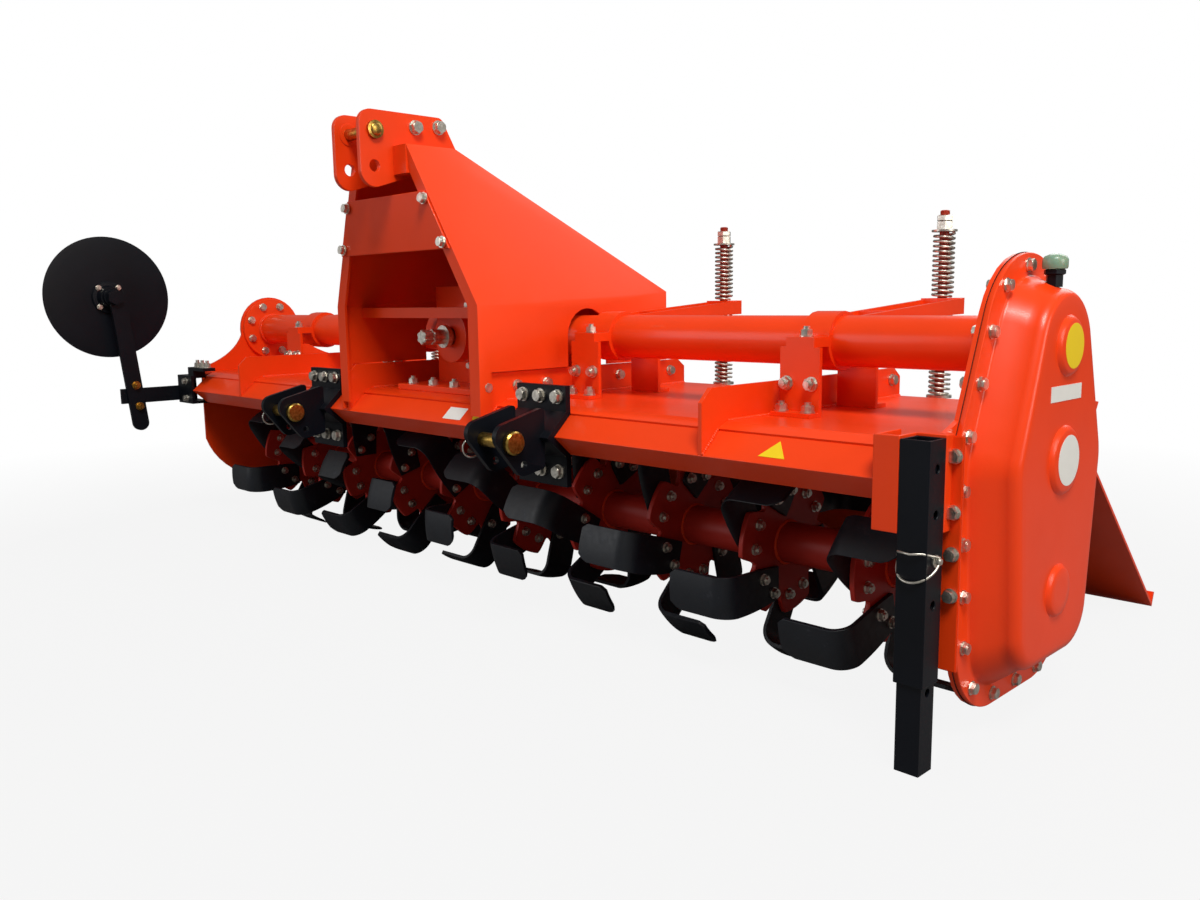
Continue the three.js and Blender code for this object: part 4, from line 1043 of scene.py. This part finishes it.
class TILLER_OT_labels(TillerOperator, bpy.types.Operator):
    """Stick the small blank labels on the front beam"""
    bl_idname = "tiller.labels"
    bl_label = "Blank labels"

    def make(self):
        # the beam's sloping face in y and z, and its outward normal
        top, nose = Vector((-262, DECK_TOP - 14)), Vector((-306, DECK_TOP - 54))
        slope = (top - nose).normalized()
        normal = Vector((-slope.y, slope.x))
        centre = (top + nose) / 2 + normal * 0.3
        for name, x, points, finish in (
                ("blank_label_white", 150, [(-32, -17), (32, -17), (32, 17), (-32, 17)], "white"),
                ("blank_label_round", 232, [(15 * c, 15 * s) for c, s in around(40)], "yellow"),
                ("blank_label_yellow", 1010, [(-26, -15), (26, -15), (0, 20)], "yellow")):
            lofted(name, finish, [[at(x + a, *(centre + slope * b + normal * lift)) for a, b in points]
                                  for lift in (0.0, 0.4)])


class TILLER_OT_studio(TillerOperator, bpy.types.Operator):
    """Set the camera, the lamps, the pale floor and the white surroundings"""
    bl_idname = "tiller.studio"
    bl_label = "Studio"

    def make(self):
        scene = bpy.context.scene
        scene.view_settings.view_transform = "Standard"
        self.camera(scene)
        self.floor(scene)
        self.world(scene)
        for name, place, energy, size, shade in (
                ("key", (3.2, -2.2, 5.0), 250, 1.8, (1.0, 0.985, 0.95)),
                ("fill", (-2.6, -4.2, 1.8), 46, 2.6, (0.97, 0.98, 1.0)),
                ("rear", (0.5, 3.8, 3.4), 80, 3.2, (1.0, 1.0, 1.0)),
                ("case", (5.0, 0.2, 2.0), 58, 1.8, (1.0, 0.95, 0.88))):
            data = bpy.data.lights.new(name, "AREA")
            data.energy, data.size, data.color = energy, size, shade
            lamp = bpy.data.objects.new(name, data)
            lamp.location = place
            aim = Vector((0.2, 0.0, 0.45)) - Vector(place)
            lamp.rotation_euler = aim.to_track_quat("-Z", "Y").to_euler()
            scene.collection.objects.link(lamp)

    def camera(self, scene):
        azimuth, pitch, roll = math.radians(45.8), math.radians(8.4), math.radians(-0.8)
        level = Vector((-math.sin(azimuth), math.cos(azimuth), 0)) * math.cos(pitch)
        ahead = level - Z * math.sin(pitch)
        right = Vector((math.cos(azimuth), math.sin(azimuth), 0))
        turn = Matrix((right, right.cross(ahead), -ahead)).transposed().to_4x4()
        data = bpy.data.cameras.new("camera")
        data.lens, data.sensor_width = 30.4, 36.0
        camera = bpy.data.objects.new("camera", data)
        camera.matrix_world = Matrix.Translation(at(1968, -1608, 695)) @ turn @ Matrix.Rotation(roll, 4, "Z")
        scene.collection.objects.link(camera)
        scene.camera = camera

    def floor(self, scene):
        bm = bmesh.new()
        bmesh.ops.create_grid(bm, x_segments=1, y_segments=1, size=30)
        mesh = bpy.data.meshes.new("floor")
        bm.to_mesh(mesh)
        bm.free()
        floor = bpy.data.objects.new("floor", mesh)
        scene.collection.objects.link(floor)
        material, tree, shader, place = surface("white studio floor", Roughness=0.9,
                                                Base_Color=(0.2, 0.2, 0.2, 1))
        # the shadow fades out with distance, so that the floor runs into the white surroundings
        far = add(tree, "ShaderNodeVectorMath", {0: place}, operation="LENGTH").outputs["Value"]
        fade = add(tree, "ShaderNodeMapRange", {"From Min": 1.6, "From Max": 3.4, "To Min": 0.89, "Value": far})
        path = add(tree, "ShaderNodeLightPath")
        seen = add(tree, "ShaderNodeMath", {0: path.outputs["Is Camera Ray"], 1: fade.outputs["Result"]},
                   operation="MULTIPLY")
        glow = add(tree, "ShaderNodeEmission", {"Color": (1, 1, 1, 1), "Strength": 1.0})
        self.mixed(tree, seen, shader, glow, "Material Output")
        mesh.materials.append(material)

    def world(self, scene):
        world = bpy.data.worlds.new("surroundings")
        world.use_nodes = True
        tree = world.node_tree
        base = tree.nodes["Background"]
        base.inputs["Color"].default_value = (0.98, 0.96, 0.94, 1)
        base.inputs["Strength"].default_value = 0.21
        white = add(tree, "ShaderNodeBackground", {"Color": (1, 1, 1, 1), "Strength": 1.0})
        self.mixed(tree, add(tree, "ShaderNodeLightPath"), base, white, "World Output")
        scene.world = world

    def mixed(self, tree, share, one, two, end):
        """Ends a tree in a share of two over one."""
        mix = add(tree, "ShaderNodeMixShader", {0: share.outputs[0], 1: one.outputs[0], 2: two.outputs[0]})
        tree.links.new(mix.outputs[0], tree.nodes[end].inputs["Surface"])


STEPS = (TILLER_OT_sheets, TILLER_OT_main_tube, TILLER_OT_gear_case, TILLER_OT_fasteners, TILLER_OT_hitch,
         TILLER_OT_input_shaft, TILLER_OT_springs, TILLER_OT_rotor, TILLER_OT_coulter, TILLER_OT_stand,
         TILLER_OT_welds, TILLER_OT_labels, TILLER_OT_studio)


class TILLER_PT_pieces(bpy.types.Panel):
    """Lists the tiller's pieces and the sizes and colours they use"""
    bl_idname = "TILLER_PT_pieces"
    bl_label = "Rotary tiller"
    bl_space_type = "VIEW_3D"
    bl_region_type = "UI"
    bl_category = "Tiller"

    def draw(self, context):
        for group in (context.scene.tiller_sizes, context.scene.tiller_colours):
            for key in type(group).__annotations__:
                self.layout.prop(group, key)
        for step in STEPS:
            self.layout.operator(step.bl_idname)


CLASSES = (TillerColours, TillerSizes, *STEPS, TILLER_PT_pieces)


def register():
    for cls in CLASSES:
        bpy.utils.register_class(cls)
    bpy.types.Scene.tiller_colours = PointerProperty(type=TillerColours)
    bpy.types.Scene.tiller_sizes = PointerProperty(type=TillerSizes)


def unregister():
    del bpy.types.Scene.tiller_sizes
    del bpy.types.Scene.tiller_colours
    for cls in reversed(CLASSES):
        bpy.utils.unregister_class(cls)


def main():
    register()
    make_finishes()
    for step in STEPS:
        group, name = step.bl_idname.split(".")
        getattr(getattr(bpy.ops, group), name)()


if __name__ == "__main__":
    main()
